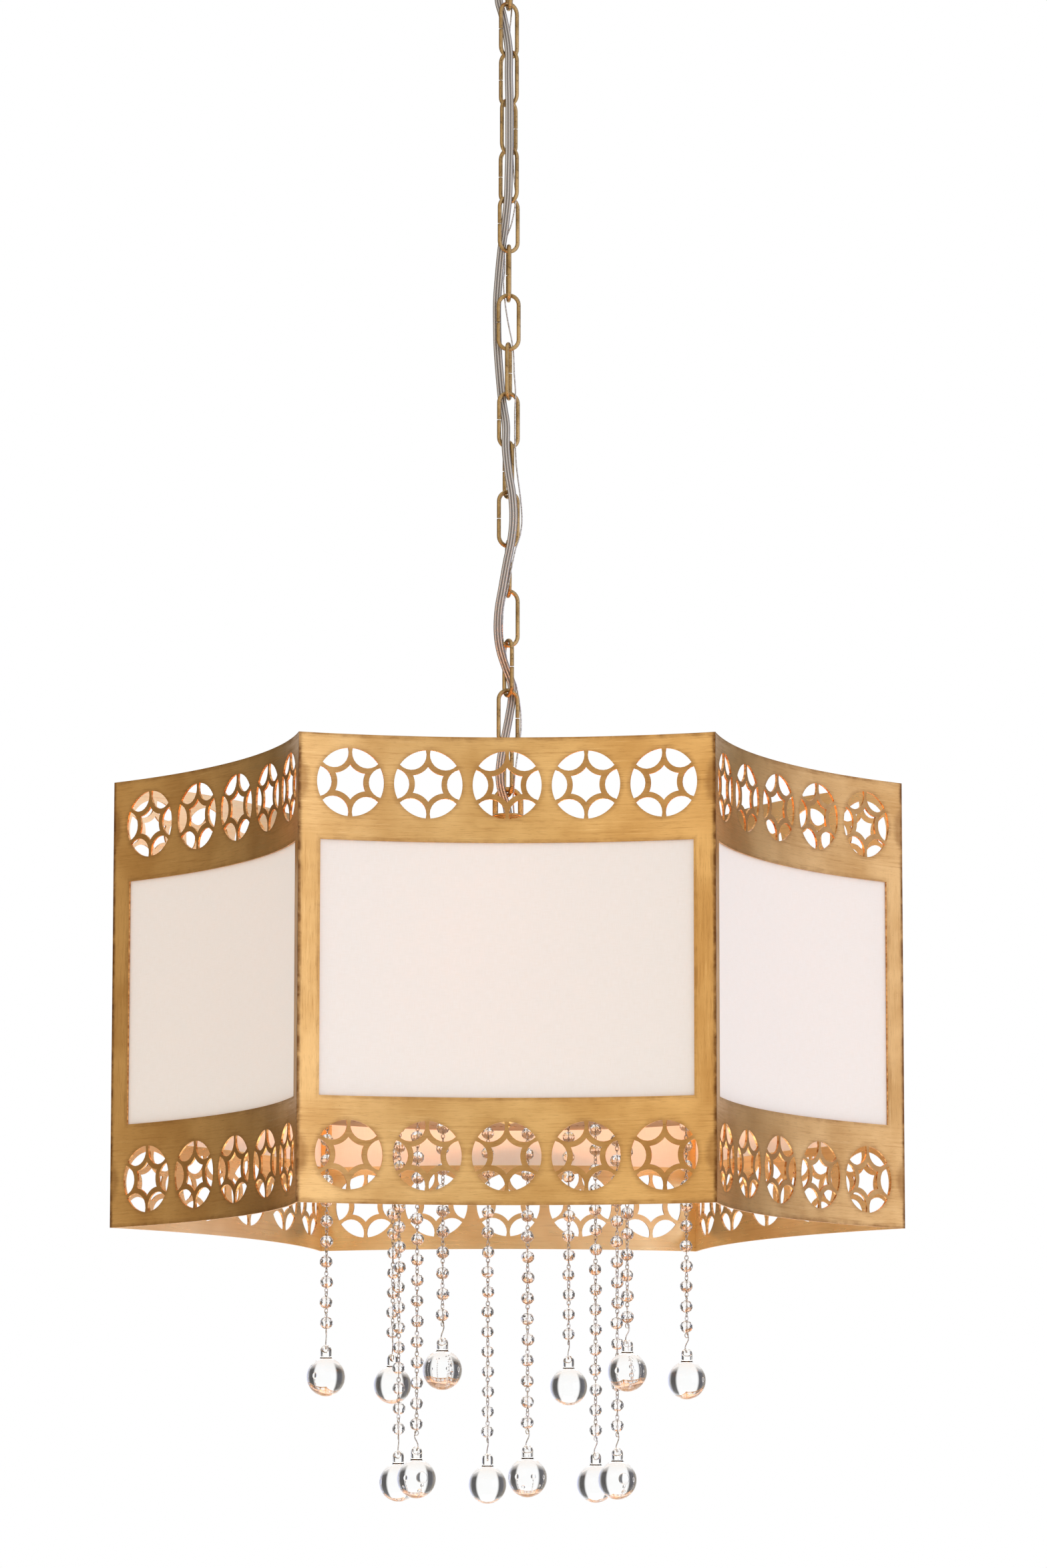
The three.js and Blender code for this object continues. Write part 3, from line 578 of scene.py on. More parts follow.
def linen_cloth(name, deep, pale):
    """Woven linen on a translucent backing, lit a little by the lamps behind."""
    n = Look(name)
    where = n.attribute("sheet")
    along, up, _ = n.split(where)
    warp = n.stretched(where, 3.0, 0.12, 2, 0.5)
    weft = n.stretched(where, 0.12, 3.0, 2, 0.5)
    wave_a = n.math("SINE", n.times(along, 9.0))
    wave_b = n.math("SINE", n.times(up, 9.0))
    weave = n.times(wave_a, wave_b)
    thread = n.plus(n.times(warp, 0.5), n.times(weft, 0.5))
    base = n.mix(n.ramp(thread, 0.35, 0.65), deep, pale)
    base = n.stain(base, rgb(225, 212, 200), weave, 0.0, 1.0, 0.08)
    base = n.stain(base, rgb(222, 210, 198), weft, 0.68, 0.80, 0.12)
    n.paint(Base_Color=base, Roughness=0.85, Metallic=0.0, Sheen_Weight=0.15,
            Sheen_Roughness=0.5, Transmission_Weight=0.0)
    height = n.plus(n.times(weave, 0.3), thread)
    n.relief(height, 0.25, 0.0002)
    through = n.new("ShaderNodeBsdfTranslucent")
    n.link(base, through.inputs["Color"])
    blend = n.new("ShaderNodeMixShader")
    blend.inputs[0].default_value = 0.15
    n.link(n.shader.outputs[0], blend.inputs[1])
    n.link(through.outputs[0], blend.inputs[2])
    n.link(blend.outputs[0], n.tree.nodes["Material Output"].inputs["Surface"])
    return n.material


def clear_glass(name, tint, ior):
    n = Look(name)
    ripple = n.noise(n.coordinates("Object"), 90, 2, 0.4)
    n.paint(Base_Color=tint, Roughness=0.0, Metallic=0.0, IOR=ior, Transmission_Weight=1.0)
    n.relief(ripple, 0.02, 0.0004)
    return n.material


def silver_wire():
    n = Look("silver_wire")
    fine = n.noise(n.coordinates("Object"), 800, 3, 0.5)
    base = n.mix(n.ramp(fine, 0.35, 0.7), rgb(214, 206, 196), rgb(150, 140, 130))
    return n.finish(base, fine, (0.16, 0.34), 1.0, 0.15, 0.0002)


def cord_vinyl():
    """Clear vinyl over three bundles of tinned strands, with a painted highlight line down each and
    painted shade along the seams between them.
    """
    n = Look("cord_vinyl")
    where = n.attribute("cord")
    across, along, _ = n.split(where)
    twist = n.noise(n.merged(n.times(across, 2.4), n.times(along, 0.02)), 1.0, 2, 0.5)
    core = n.math("MODULO", n.plus(across, 3.15), 2.1)
    core = n.math("ABSOLUTE", n.minus(core, 1.05))
    clear_of_painted_seam_shade = n.ramp(core, 0.85, 0.35)
    metal = n.mix(n.ramp(twist, 0.35, 0.65), rgb(138, 129, 118), rgb(192, 183, 171))
    # painted shade: dark colour where the bundles meet, standing in for the dark refraction at the
    # vinyl's edges
    base = n.mix(clear_of_painted_seam_shade, rgb(98, 88, 79), metal)
    # painted highlight: a near-white line down the middle of each bundle
    base = n.stain(base, rgb(240, 237, 232), core, 0.34, 0.08, 0.7)
    n.paint(Base_Color=base, Roughness=0.22, Metallic=0.0, Coat_Weight=1.0, Coat_Roughness=0.04,
            IOR=1.52, Transmission_Weight=0.12)
    n.relief(twist, 0.12, 0.0003)
    return n.material


def plate_brass():
    """Brushed dark brass of the round plate, with turned rings."""
    n = Look("plate_brass")
    where = n.coordinates("Object")
    x, y, _ = n.split(where)
    rings = n.noise(n.merged(n.times(n.length(x, y), 900.0), 0.0), 1.0, 3, 0.6)
    cloud = n.noise(where, 14, 4, 0.6)
    base = n.mix(n.ramp(cloud, 0.3, 0.7), rgb(136, 92, 50), rgb(172, 124, 72))
    base = n.stain(base, rgb(84, 52, 26), rings, 0.5, 0.8, 0.35)
    return n.finish(base, rings, (0.36, 0.5), 0.85, 0.2, 0.0002)


def lit_glass():
    n = Look("lit_glass")
    cloud = n.noise(n.coordinates("Object"), 30, 2, 0.5)
    warm = n.mix(n.ramp(cloud, 0.3, 0.7), rgb(255, 166, 96), rgb(255, 178, 110))
    n.paint(Base_Color=rgb(255, 240, 220), Roughness=0.45, Emission_Color=warm,
            Emission_Strength=LAMP_GLOW)
    return n.material


def moulded(name, tone, rough):
    n = Look(name)
    fine = n.noise(n.coordinates("Object"), 500, 3, 0.6)
    paler = [min(1, v * 1.5 + 0.01) for v in tone[:3]]
    base = n.mix(n.ramp(fine, 0.4, 0.8), tone, (*paler, 1))
    return n.finish(base, fine, (rough - 0.1, rough + 0.1), 0.0, 0.2, 0.0002)


SHEET_BRASS = sheet_brass()
INNER_BRASS = inner_brass()
EDGE_BRASS = edge_brass()
CHAIN_BRASS = brass("chain_brass", rgb(66, 48, 28), rgb(150, 120, 74), rgb(188, 156, 104))
LOOP_BRASS = brass("loop_brass", rgb(96, 64, 32), rgb(182, 136, 74), rgb(220, 176, 110))
CANOPY_BRASS = brass("canopy_brass", rgb(128, 82, 36), rgb(204, 152, 84),
                     rgb(232, 186, 116), scale=0.3, speck=0.35)
PLATE_BRASS = plate_brass()
ROD_BRASS = brass("rod_brass", rgb(96, 64, 32), rgb(190, 144, 80), rgb(222, 180, 114))
LINEN_CLOTH = linen_cloth("linen", rgb(248, 243, 236), rgb(252, 248, 243))
# painted lamp glow: the inner faces' warm cream stands in for the bulbs lighting them from inside
LINEN_BACKING_PAINTED_GLOW = linen_cloth("linen_backing_painted_glow", rgb(252, 235, 218), rgb(254, 240, 225))
BEAD_GLASS = clear_glass("bead_glass", (1.0, 0.99, 0.98, 1), 1.47)
BALL_GLASS = clear_glass("ball_glass", (0.985, 0.99, 0.985, 1), 1.48)
SILVER = silver_wire()
VINYL = cord_vinyl()
LIT = lit_glass()
PHENOLIC = moulded("phenolic", rgb(30, 27, 24), 0.45)
ZINC = brass("zinc", rgb(120, 118, 114), rgb(176, 174, 168), rgb(206, 204, 198), scale=0.4)


def turned(name, profile, sides, look, body, node):
    """A lathe piece that stands for the node."""
    settle(Shape().add(lathe(profile, sides)).make(name, [look]), body, node)


def settle(piece, body, node, spot=None):
    """The piece goes to its spot, moves with the body and stands for the node."""
    if spot is not None:
        piece.matrix_world = in_metres(spot)
    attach(piece, body)
    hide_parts(node)


def turn_z(degrees, z=0.0, x=0.0, y=0.0):
    return Matrix.Translation((x, y, z)) @ Matrix.Rotation(math.radians(degrees), 4, "Z")


# ---------- cords ----------

def flat_section():
    """Outline of a flat cord of three ribs: pairs of thickness and width."""
    pitch = (CORD_WIDTH - CORD_THICKNESS) / 2
    half = CORD_THICKNESS / 2
    out = []
    for rib, start, end in ((-1, 180, 52), (0, 128, 52), (1, 128, 0)):
        out += [(a, b) for b, a in arc(rib * pitch, 0, half, half, start, end, 6)]
    lower = [(-a, b) for a, b in reversed(out)]
    return out + lower[1:-1]


def hang(piece, node):
    """The cord stands for the node, its placement baked into its points."""
    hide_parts(node)
    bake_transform(piece)


def make_cords():
    section = flat_section()
    count = len(section)
    points, length = spline(CORD_ROUTE, 3.0)
    shape = Shape().add(sweep(points, section, first=Vector((0, 1, 0))))
    cord = shape.make("supply_cord_visual", [VINYL])
    attribute = cord.data.attributes.new("cord", "FLOAT_VECTOR", "POINT")
    for i, place_along in enumerate(attribute.data):
        along = i // count * length / (len(points) - 1)
        place_along.vector = (section[i % count][1], along, 0)
    hang(cord, "supply_cord")

    points, length = spline(EARTH_ROUTE, 2.0)
    outer = circle(EARTH_RADIUS, 16)
    inner = circle(EARTH_RADIUS * 0.9, 16)
    strands = [outer[k] if k % 2 else inner[k] for k in range(16)]
    earth = Shape().add(sweep(points, strands)).make("earth_wire_visual", [SILVER])
    hang(earth, "earth_wire")


# ---------- chain and loops ----------

def make_chain():
    bend = (LINK_WIDTH - LINK_WIRE) / 2
    straight = (LINK_LENGTH - LINK_WIDTH) / 2
    points = [(bend, 0, LINK_SLOT / 2), (bend, 0, straight * 0.5)]
    for centre, start in ((straight, 0), (-straight, 180)):
        points += [(x, 0, z) for x, z in arc(0, centre, bend, bend, start, start + 180, 18)]
    points += [(bend, 0, -straight * 0.5), (bend, 0, -LINK_SLOT / 2)]
    link = Shape().add(sweep(points, circle(LINK_WIRE / 2, 14), first=Vector((0, 1, 0))))
    first = link.make("link_01_visual", [CHAIN_BRASS])
    for index, (turn, side) in enumerate(zip(LINK_TURNS, LINK_SLOT_SIDES)):
        name = f"link_{index + 1:02d}_visual"
        piece = first if index == 0 else place(name, first.data)
        spin = turn + (180 if side < 0 else 0)
        settle(piece, "chain", f"chain_link_{index + 1:02d}",
               turn_z(spin, BOTTOM_LINK + index * LINK_PITCH))


def stirrup():
    """Bent wire of a loop, its legs standing in the collar."""
    radius = LOOP_RADIUS
    end = LOOP_REACH + LOOP_WIRE / 2
    bow = [(-radius, end), (-radius, radius + 5), *arc(0, radius, radius, radius, 180, 360, 24),
           (radius, radius + 5), (radius, end)]
    points = [(x, 0, z) for x, z in bow]
    return sweep(points, circle(LOOP_WIRE / 2, 16), first=Vector((0, 1, 0)))


def collar(inner_top, stem_top):
    """Knurled ring that takes the stirrup's legs, with the mouth for the cord."""
    low = LOOP_REACH
    high = low + LOOP_COLLAR_HEIGHT
    rim = LOOP_COLLAR_RADIUS
    profile = [(LOOP_BORE, low), (rim - 1, low), (rim, low + 1)]
    for k in range(4):
        z = low + 1.6 + k * 1.6
        profile += [(rim, z), (rim - 0.35, z + 0.4), (rim - 0.35, z + 0.8), (rim, z + 1.2)]
    profile += [(rim, high - 1), (rim - 1, high)]
    if stem_top is not None:
        profile += [(NIPPLE_RADIUS, high)]
        z = high
        while z < stem_top - 1.2:
            profile += [(NIPPLE_RADIUS, z + 0.4), (NIPPLE_RADIUS - 0.5, z + 0.8)]
            z += 1.1
        profile += [(NIPPLE_RADIUS - 0.4, stem_top), (NIPPLE_BORE, stem_top)]
        profile += [(NIPPLE_BORE, low + LOOP_MOUTH)]
    else:
        profile += [(inner_top, high), (inner_top, low + LOOP_MOUTH)]
    profile += [(LOOP_BORE, low + LOOP_MOUTH)]
    return lathe(profile, 40)


def make_loops():
    upper = Shape().add(collar(None, NIPPLE_TOP - UPPER_PIVOT)).add(stirrup())
    settle(upper.make("canopy_loop_visual", [LOOP_BRASS]), "canopy", "canopy_loop",
           turn_z(CANOPY_LOOP_TURN, UPPER_PIVOT))
    lower = Shape().add(collar(ROD_RADIUS + GAP, None)).add(stirrup())
    upside_down = Matrix.Translation((0, 0, LOWER_PIVOT)) @ Matrix.Rotation(math.pi, 4, "X")
    settle(lower.make("hanging_loop_visual", [LOOP_BRASS]), "lantern", "hanging_loop",
           upside_down)


def make_canopy():
    edge = 4
    rim = CANOPY_RADIUS
    crown = CANOPY_CROWN_RADIUS
    deep = -CANOPY_DEPTH
    hole = NIPPLE_RADIUS + GAP
    swell = rim - crown - 0.8
    outer = [(hole, deep), (crown - 6, deep), (crown - 5, deep + 0.5), (crown - 3.4, deep + 0.5),
             (crown - 2.4, deep), *arc(crown, -edge, swell, -deep - edge, -90, 0, 20)]
    bead = [(rim - 0.8, -edge), (rim, -edge + 0.8), (rim, -0.6), (rim - 0.6, 0)]
    inner = [(rim - CANOPY_WALL - 0.3, 0),
             *arc(crown, -edge, swell - CANOPY_WALL, -deep - edge - CANOPY_WALL, 0, -90, 16),
             (hole, deep + CANOPY_WALL)]
    turned("canopy_visual", outer + bead + inner, 72, CANOPY_BRASS, "canopy", "ceiling_canopy")


# ---------- side sheets ----------

def on_rim(radius, angle):
    return Vector((radius * math.cos(angle), radius * math.sin(angle)))


def arc_between(centre, radius, start, end, steps):
    """Points on the short arc about centre, from start up to but not including end."""
    a = math.atan2(start.y - centre.y, start.x - centre.x)
    b = math.atan2(end.y - centre.y, end.x - centre.x)
    turn = (b - a + math.pi) % (2 * math.pi) - math.pi
    return [centre + on_rim(radius, a + turn * k / steps) for k in range(steps)]


def medallion_outlines():
    """The seven openings of one medallion, round its own centre."""
    rim = MEDALLION_RADIUS
    step = 2 * math.pi / PETALS
    half = 2 * math.asin(PETAL_RADIUS / (2 * rim))
    outlines = []
    for k in range(PETALS):
        start = on_rim(rim, k * step + half)
        end = on_rim(rim, k * step - half)
        hub = on_rim(rim, k * step)
        inner = arc_between(hub, PETAL_RADIUS, start, end, 10)
        outer = arc_between(Vector((0, 0)), rim, end, start, 8)
        outlines.append(inner + outer)
    hollow = PETAL_RADIUS + RIB
    tip = rim * math.cos(step / 2) - math.sqrt(hollow**2 - (rim * math.sin(step / 2)) ** 2)
    star = []
    for k in range(PETALS):
        star += arc_between(on_rim(rim, k * step), hollow,
                            on_rim(tip, (k - 0.5) * step), on_rim(tip, (k + 0.5) * step), 8)
    outlines.append(star)
    return outlines


def medallion_places():
    middle = (MEDALLION_COUNT - 1) / 2
    return [(bay - middle) * MEDALLION_PITCH for bay in range(MEDALLION_COUNT)]


def spaced(low, high, count):
    return [low + (high - low) * k / count for k in range(count + 1)]


def box_outline(half, low, high, columns, rows):
    """Outline of a box: along its foot, up, back along its head and down."""
    across = spaced(-half, half, columns)
    rise = spaced(low, high, rows)[1:-1]
    foot = [Vector((s, low)) for s in across]
    right = [Vector((half, z)) for z in rise]
    head = [Vector((s, high)) for s in reversed(across)]
    left = [Vector((-half, z)) for z in reversed(rise)]
    return foot + right + head + left


def sheet_openings():
    """Outlines of all the openings of one sheet, as (along, up) in millimetres."""
    out = []
    for up in (MEDALLION_INSET, FRAME_HEIGHT - MEDALLION_INSET):
        for along in medallion_places():
            centre = Vector((along, up))
            out += [[centre + p for p in outline] for outline in medallion_outlines()]
    out.append(box_outline(HALF_WINDOW, BAND, FRAME_HEIGHT - BAND, 40, 18))
    return out


def flat_net(outline, openings, inner_points):
    """Triangles of a flat plate with openings: its points and its faces."""
    points = []
    loops = []
    for loop in [outline, *openings]:
        loops.append(list(range(len(points), len(points) + len(loop))))
        points += loop
    edges = [(loop[k], loop[(k + 1) % len(loop)]) for loop in loops for k in range(len(loop))]
    points = points + inner_points
    verts, _, faces, _, _, origins = delaunay_2d_cdt(points, edges, loops[1:], 0, 1e-4)
    keep = [face for face, origin in zip(faces, origins) if not origin]
    return verts, keep


def plate_mesh(verts, faces, front, back, numbers):
    """Closed plate from a flat net; front and back place a net point on either face."""
    used = sorted({i for face in faces for i in face})
    where = {old: new for new, old in enumerate(used)}
    net = [verts[i] for i in used]
    count = len(net)
    tops = [[where[i] for i in face] for face in faces]
    sides = {}
    for face in tops:
        for pair in zip(face, face[1:] + face[:1]):
            sides[pair] = True
    rims = [(a, b) for a, b in sides if (b, a) not in sides]
    shape = Shape()
    shape.verts = [front(p) for p in net] + [back(p) for p in net]
    for group, number, smooth in (
            (tops, numbers[0], True),
            ([[i + count for i in reversed(face)] for face in tops], numbers[1], True),
            ([[b, a, a + count, b + count] for a, b in rims], numbers[2], False)):
        shape.faces += group
        shape.numbers += [number] * len(group)
        shape.smooth += [smooth] * len(group)
    return shape, net


def mark_sheet(piece, net, index, shift=0):
    """Store each point's place on the flat sheet, along and up, with the sheet's number."""
    attribute = piece.data.attributes.new("sheet", "FLOAT_VECTOR", "POINT")
    for point, p in zip(attribute.data, [*net, *net]):
        point.vector = (p.x + shift, p.y, index)


def bow_place(radius, angle, up):
    return Vector((radius * math.sin(angle), -BOW_CENTRE + radius * math.cos(angle), up))


def mitre_angle(radius):
    """Angle on the bow at which a point of that radius meets the corner's mitre plane."""
    return math.asin(BOW_CENTRE * 0.5 / radius) - math.pi / 6


def on_bow(depth):
    """Places a point of a flat sheet on the bow, depth behind its outer face."""
    radius = BOW_RADIUS + depth

    def put(p):
        angle = p.x / BOW_RADIUS
        if abs(p.x) > HALF_SHEET - 0.01:
            angle = math.copysign(mitre_angle(radius), p.x)
        return bow_place(radius, angle, p.y)
    return put


def make_sheets():
    columns = 48
    inner = []
    for s in spaced(-HALF_SHEET, HALF_SHEET, columns)[1:-1]:
        for z in range(6, FRAME_HEIGHT, 9):
            fold = z if z < FRAME_HEIGHT / 2 else FRAME_HEIGHT - z
            clear = min(math.hypot(s - c, fold - MEDALLION_INSET) for c in medallion_places())
            in_window = fold > BAND - 2 and abs(s) < HALF_WINDOW + 2
            if clear > MEDALLION_RADIUS + 2 and not in_window:
                inner.append(Vector((s, z)))
    outline = box_outline(HALF_SHEET, 0, FRAME_HEIGHT, columns, 16)
    verts, faces = flat_net(outline, sheet_openings(), inner)
    for index in range(6):
        shape, net = plate_mesh(verts, faces, on_bow(0), on_bow(SHEET), (0, 1, 2))
        piece = shape.make(f"sheet_{index + 1:02d}_visual",
                           [SHEET_BRASS, INNER_BRASS, EDGE_BRASS], auto_smooth=30)
        mark_sheet(piece, net, index)
        settle(piece, "lantern", f"side_panel_{index + 1:02d}",
               turn_z(60 * index, FRAME_BOTTOM))


def make_linen():
    inside = SHEET + GAP
    half = HALF_WINDOW + LINEN_END_LAP
    low = BAND - LINEN_LAP
    high = FRAME_HEIGHT - BAND + LINEN_LAP
    columns = 60
    rows = 36
    wide = columns + 1
    verts = [Vector((s, z)) for z in spaced(low, high, rows) for s in spaced(-half, half, columns)]
    cells = [[j * wide + i, j * wide + i + 1, (j + 1) * wide + i + 1, (j + 1) * wide + i]
             for j in range(rows) for i in range(columns)]
    for index in range(6):
        shape, net = plate_mesh(verts, cells, on_bow(inside + 0.1), on_bow(inside + LINEN - 0.1),
                                (0, 1, 0))
        # the inner face takes the backing colour with painted lamp glow
        piece = shape.make(f"linen_{index + 1:02d}_visual", [LINEN_CLOTH, LINEN_BACKING_PAINTED_GLOW])
        mark_sheet(piece, net, index, shift=400 * index)
        settle(piece, "lantern", f"linen_diffuser_{index + 1:02d}",
               turn_z(60 * index, FRAME_BOTTOM))


# ---------- inside the lantern ----------

def make_spider():
    corner = math.pi / 2 - math.pi / 6 - BOW_HALF_ANGLE
    half = ARM_WIDTH / 2
    arm_end = FRAME_RADIUS - half / math.tan(corner) - (SHEET + 2 * GAP) / math.sin(corner)
    low = SPIDER_BOTTOM
    thick = SPIDER_THICKNESS
    high = low + thick
    soft = 0.5
    section = [(-soft, -half), (-thick + soft, -half), (-thick, -half + soft),
               (-thick, half - soft), (-thick + soft, half), (-soft, half), (0, half - soft),
               (0, -half + soft)]
    shape = Shape()
    for k in range(6):
        a = math.radians(60 * k)
        direction = Vector((math.cos(a), math.sin(a), 0))
        top = Vector((0, 0, high))
        points = [direction * 20 + top, direction * arm_end + top]
        shape.add(sweep(points, section, first=Vector((0, 0, 1))))
    hole = ROD_RADIUS + GAP
    rim = SPIDER_HUB
    shape.add(lathe([(hole, low), (rim - soft, low), (rim, low + soft), (rim, high - soft),
                     (rim - soft, high), (rim / 2, high), (hole, high)], 48))
    settle(shape.make("spider_visual", [CANOPY_BRASS]), "lantern", "frame_spider")


def make_finial():
    high = PLATE_BOTTOM - GAP
    low = high - FINIAL_HEIGHT
    hole = ROD_RADIUS + GAP
    profile = [(0, low), *arc(0, low + 1.2, 2.4, 1.2, -80, 80, 6), (1.6, low + 2.6)]
    profile += arc(0, low + 9, 9, 6.6, -70, 40, 14)
    flange = FINIAL_RADIUS + 3
    profile += [(8.0, high - 2.6), (flange - 0.6, high - 1.6), (flange, high - 0.8),
                (flange - 0.2, high), (hole, high), (hole, high - 5), (0, high - 5.3)]
    turned("finial_visual", profile, 40, CANOPY_BRASS, "lantern", "finial")


def lamp_aim(index):
    return (Matrix.Rotation(math.radians(LAMP_TURN + 120 * index), 4, "Z")
            @ Matrix.Translation((0, 0, LAMP_MID))
            @ Matrix.Rotation(math.radians(90 - LAMP_TILT), 4, "Y")
            @ Matrix.Translation((0, 0, CLUSTER_RADIUS - 6)))


def socket_profile():
    """Ribbed moulded socket with the mouth that takes the bulb's neck."""
    rim = SOCKET_RADIUS
    mouth = SOCKET_LENGTH / 2
    hole = BULB_NECK_RADIUS + GAP
    out = [(0, SOCKET_START), (rim - 3, SOCKET_START), (rim, SOCKET_START + 3)]
    z = SOCKET_START + 5
    while z < SOCKET_LENGTH - 12:
        out += [(rim, z), (rim - 0.6, z + 0.8), (rim, z + 1.6)]
        z += 3.2
    return out + [(rim - 1.2, SOCKET_LENGTH - 8), (rim - 1.2, SOCKET_LENGTH - 1),
                  (rim - 2, SOCKET_LENGTH), (hole, SOCKET_LENGTH), (hole, mouth), (0, mouth)]


def bulb_profiles():
    """The blown glass and the threaded cap under it."""
    neck = BULB_NECK_RADIUS
    mouth = SOCKET_LENGTH / 2
    shoulder = mouth + BULB_LENGTH - BULB_RADIUS
    start = SOCKET_LENGTH - 2
    flare = SOCKET_LENGTH + 3
    glass = [(0, start), (neck - 0.5, start), (neck, flare)]
    for k in range(1, 12):
        t = k / 12
        wider = (BULB_RADIUS * 0.955 - neck) * (t * t * (3 - 2 * t))
        glass.append((neck + wider, flare + (shoulder - 8 - flare) * t))
    glass += arc(0, shoulder, BULB_RADIUS, BULB_RADIUS, -16, 90, 16)
    cap = [(0, mouth + GAP), (8, mouth + GAP), (neck - 1, mouth + 3)]
    for k in range(7):
        z = mouth + 4 + 3 * k
        cap += [(neck - 0.3, z + 0.7), (neck - 1.3, z + 2.2)]
    return glass, cap + [(neck - 0.5, start - 0.2), (0, start - 0.2)]


def make_lamps():
    low = LAMP_MID - CLUSTER_HEIGHT / 2
    high = low + CLUSTER_HEIGHT
    hole = ROD_RADIUS + GAP
    rim = CLUSTER_RADIUS
    profile = [(hole, low), (rim - 4, low), *arc(rim - 3, low + 3, 3, 3, -90, 0, 5),
               *arc(rim - 3, high - 3, 3, 3, 0, 90, 5), (rim - 4, high), (hole, high)]
    turned("cluster_visual", profile, 48, LOOP_BRASS, "lantern", "lamp_cluster")
    glass, cap = bulb_profiles()
    for index in range(3):
        aim = lamp_aim(index)
        piece = Shape().add(lathe(socket_profile(), 40))
        piece = piece.make(f"socket_{index + 1:02d}_visual", [PHENOLIC])
        settle(piece, "lantern", f"lamp_socket_{index + 1:02d}", aim)
        shape = Shape().add(lathe(glass, 40)).add(lathe(cap, 32), number=1)
        piece = shape.make(f"bulb_{index + 1:02d}_visual", [LIT, ROD_BRASS])
        settle(piece, "lantern", f"bulb_{index + 1:02d}", aim)


def make_plate():
    def ring(radius, count, x=0, y=0):
        return [Vector((x + a, y + b)) for a, b in circle(radius, count)]

    def hole(radius, count, reach, angle):
        openings.append(ring(radius, count, reach * math.cos(angle), reach * math.sin(angle)))

    openings = [ring(ROD_RADIUS + GAP, 24)]
    for _, radius, turn, _ in STRAND_RINGS:
        for k in range(6):
            hole(STRAND_HOLE, 12, radius, math.radians(turn + 60 * k))
    for group in range(18):
        for k in range(-2, 3):
            a = math.radians(-90 + 20 * group) + k * VENT_STEP / VENT_RADIUS
            hole(VENT_HOLE, 8, VENT_RADIUS, a)
    inner = []
    for radius in (30, 60, 110, 160, 190, 205):
        inner += ring(radius, 48)
    verts, faces = flat_net(ring(PLATE_RADIUS - 0.2, 128), openings, inner)
    shape, _ = plate_mesh(verts, faces, lambda p: Vector((p.x, p.y, PLATE_TOP)),
                          lambda p: Vector((p.x, p.y, PLATE_BOTTOM)), (0, 0, 0))
    piece = shape.make("plate_visual", [PLATE_BRASS], auto_smooth=30)
    settle(piece, "lantern", "bottom_plate")


# ---------- strands ----------

def facet_bead(turn):
    """Fire-polished glass bead: bands of flat facets round a small bore."""
    sides = 10
    squash = 0.98
    verts = []
    for j, (radius, z) in enumerate(BEAD_ROWS):
        wide = radius * (BEAD_RADIUS if j in (2, 3) else BEAD_RADIUS * squash)
        for k in range(sides):
            a = 2 * math.pi * (k + 0.5 * (j % 2)) / sides + turn
            verts.append((wide * math.cos(a) / 0.95, wide * math.sin(a) / 0.95,
                          z * BEAD_RADIUS * squash))
    faces = []
    for j in range(len(BEAD_ROWS) - 1):
        for k in range(sides):
            n = (k + 1) % sides
            a, b = j * sides + k, j * sides + n
            c, d = a + sides, b + sides
            faces += [(a, b, d), (a, d, c)] if j % 2 else [(a, b, c), (b, d, c)]
    faces.append(tuple(reversed(range(sides))))
    faces.append(tuple(range(len(verts) - sides, len(verts))))
    return verts, faces


def eye(centre_z, turn, height=1.9, width=1.3, wire=0.35):
    """Closed loop of wire, upright, turned about the strand."""
    points = [(x * math.cos(turn), x * math.sin(turn), centre_z + height * up)
              for x, up in ((width * a, b) for a, b in circle(1, 14))]
    return sweep(points, circle(wire, 6), ends="loop", first=Vector((0, 0, 1)))


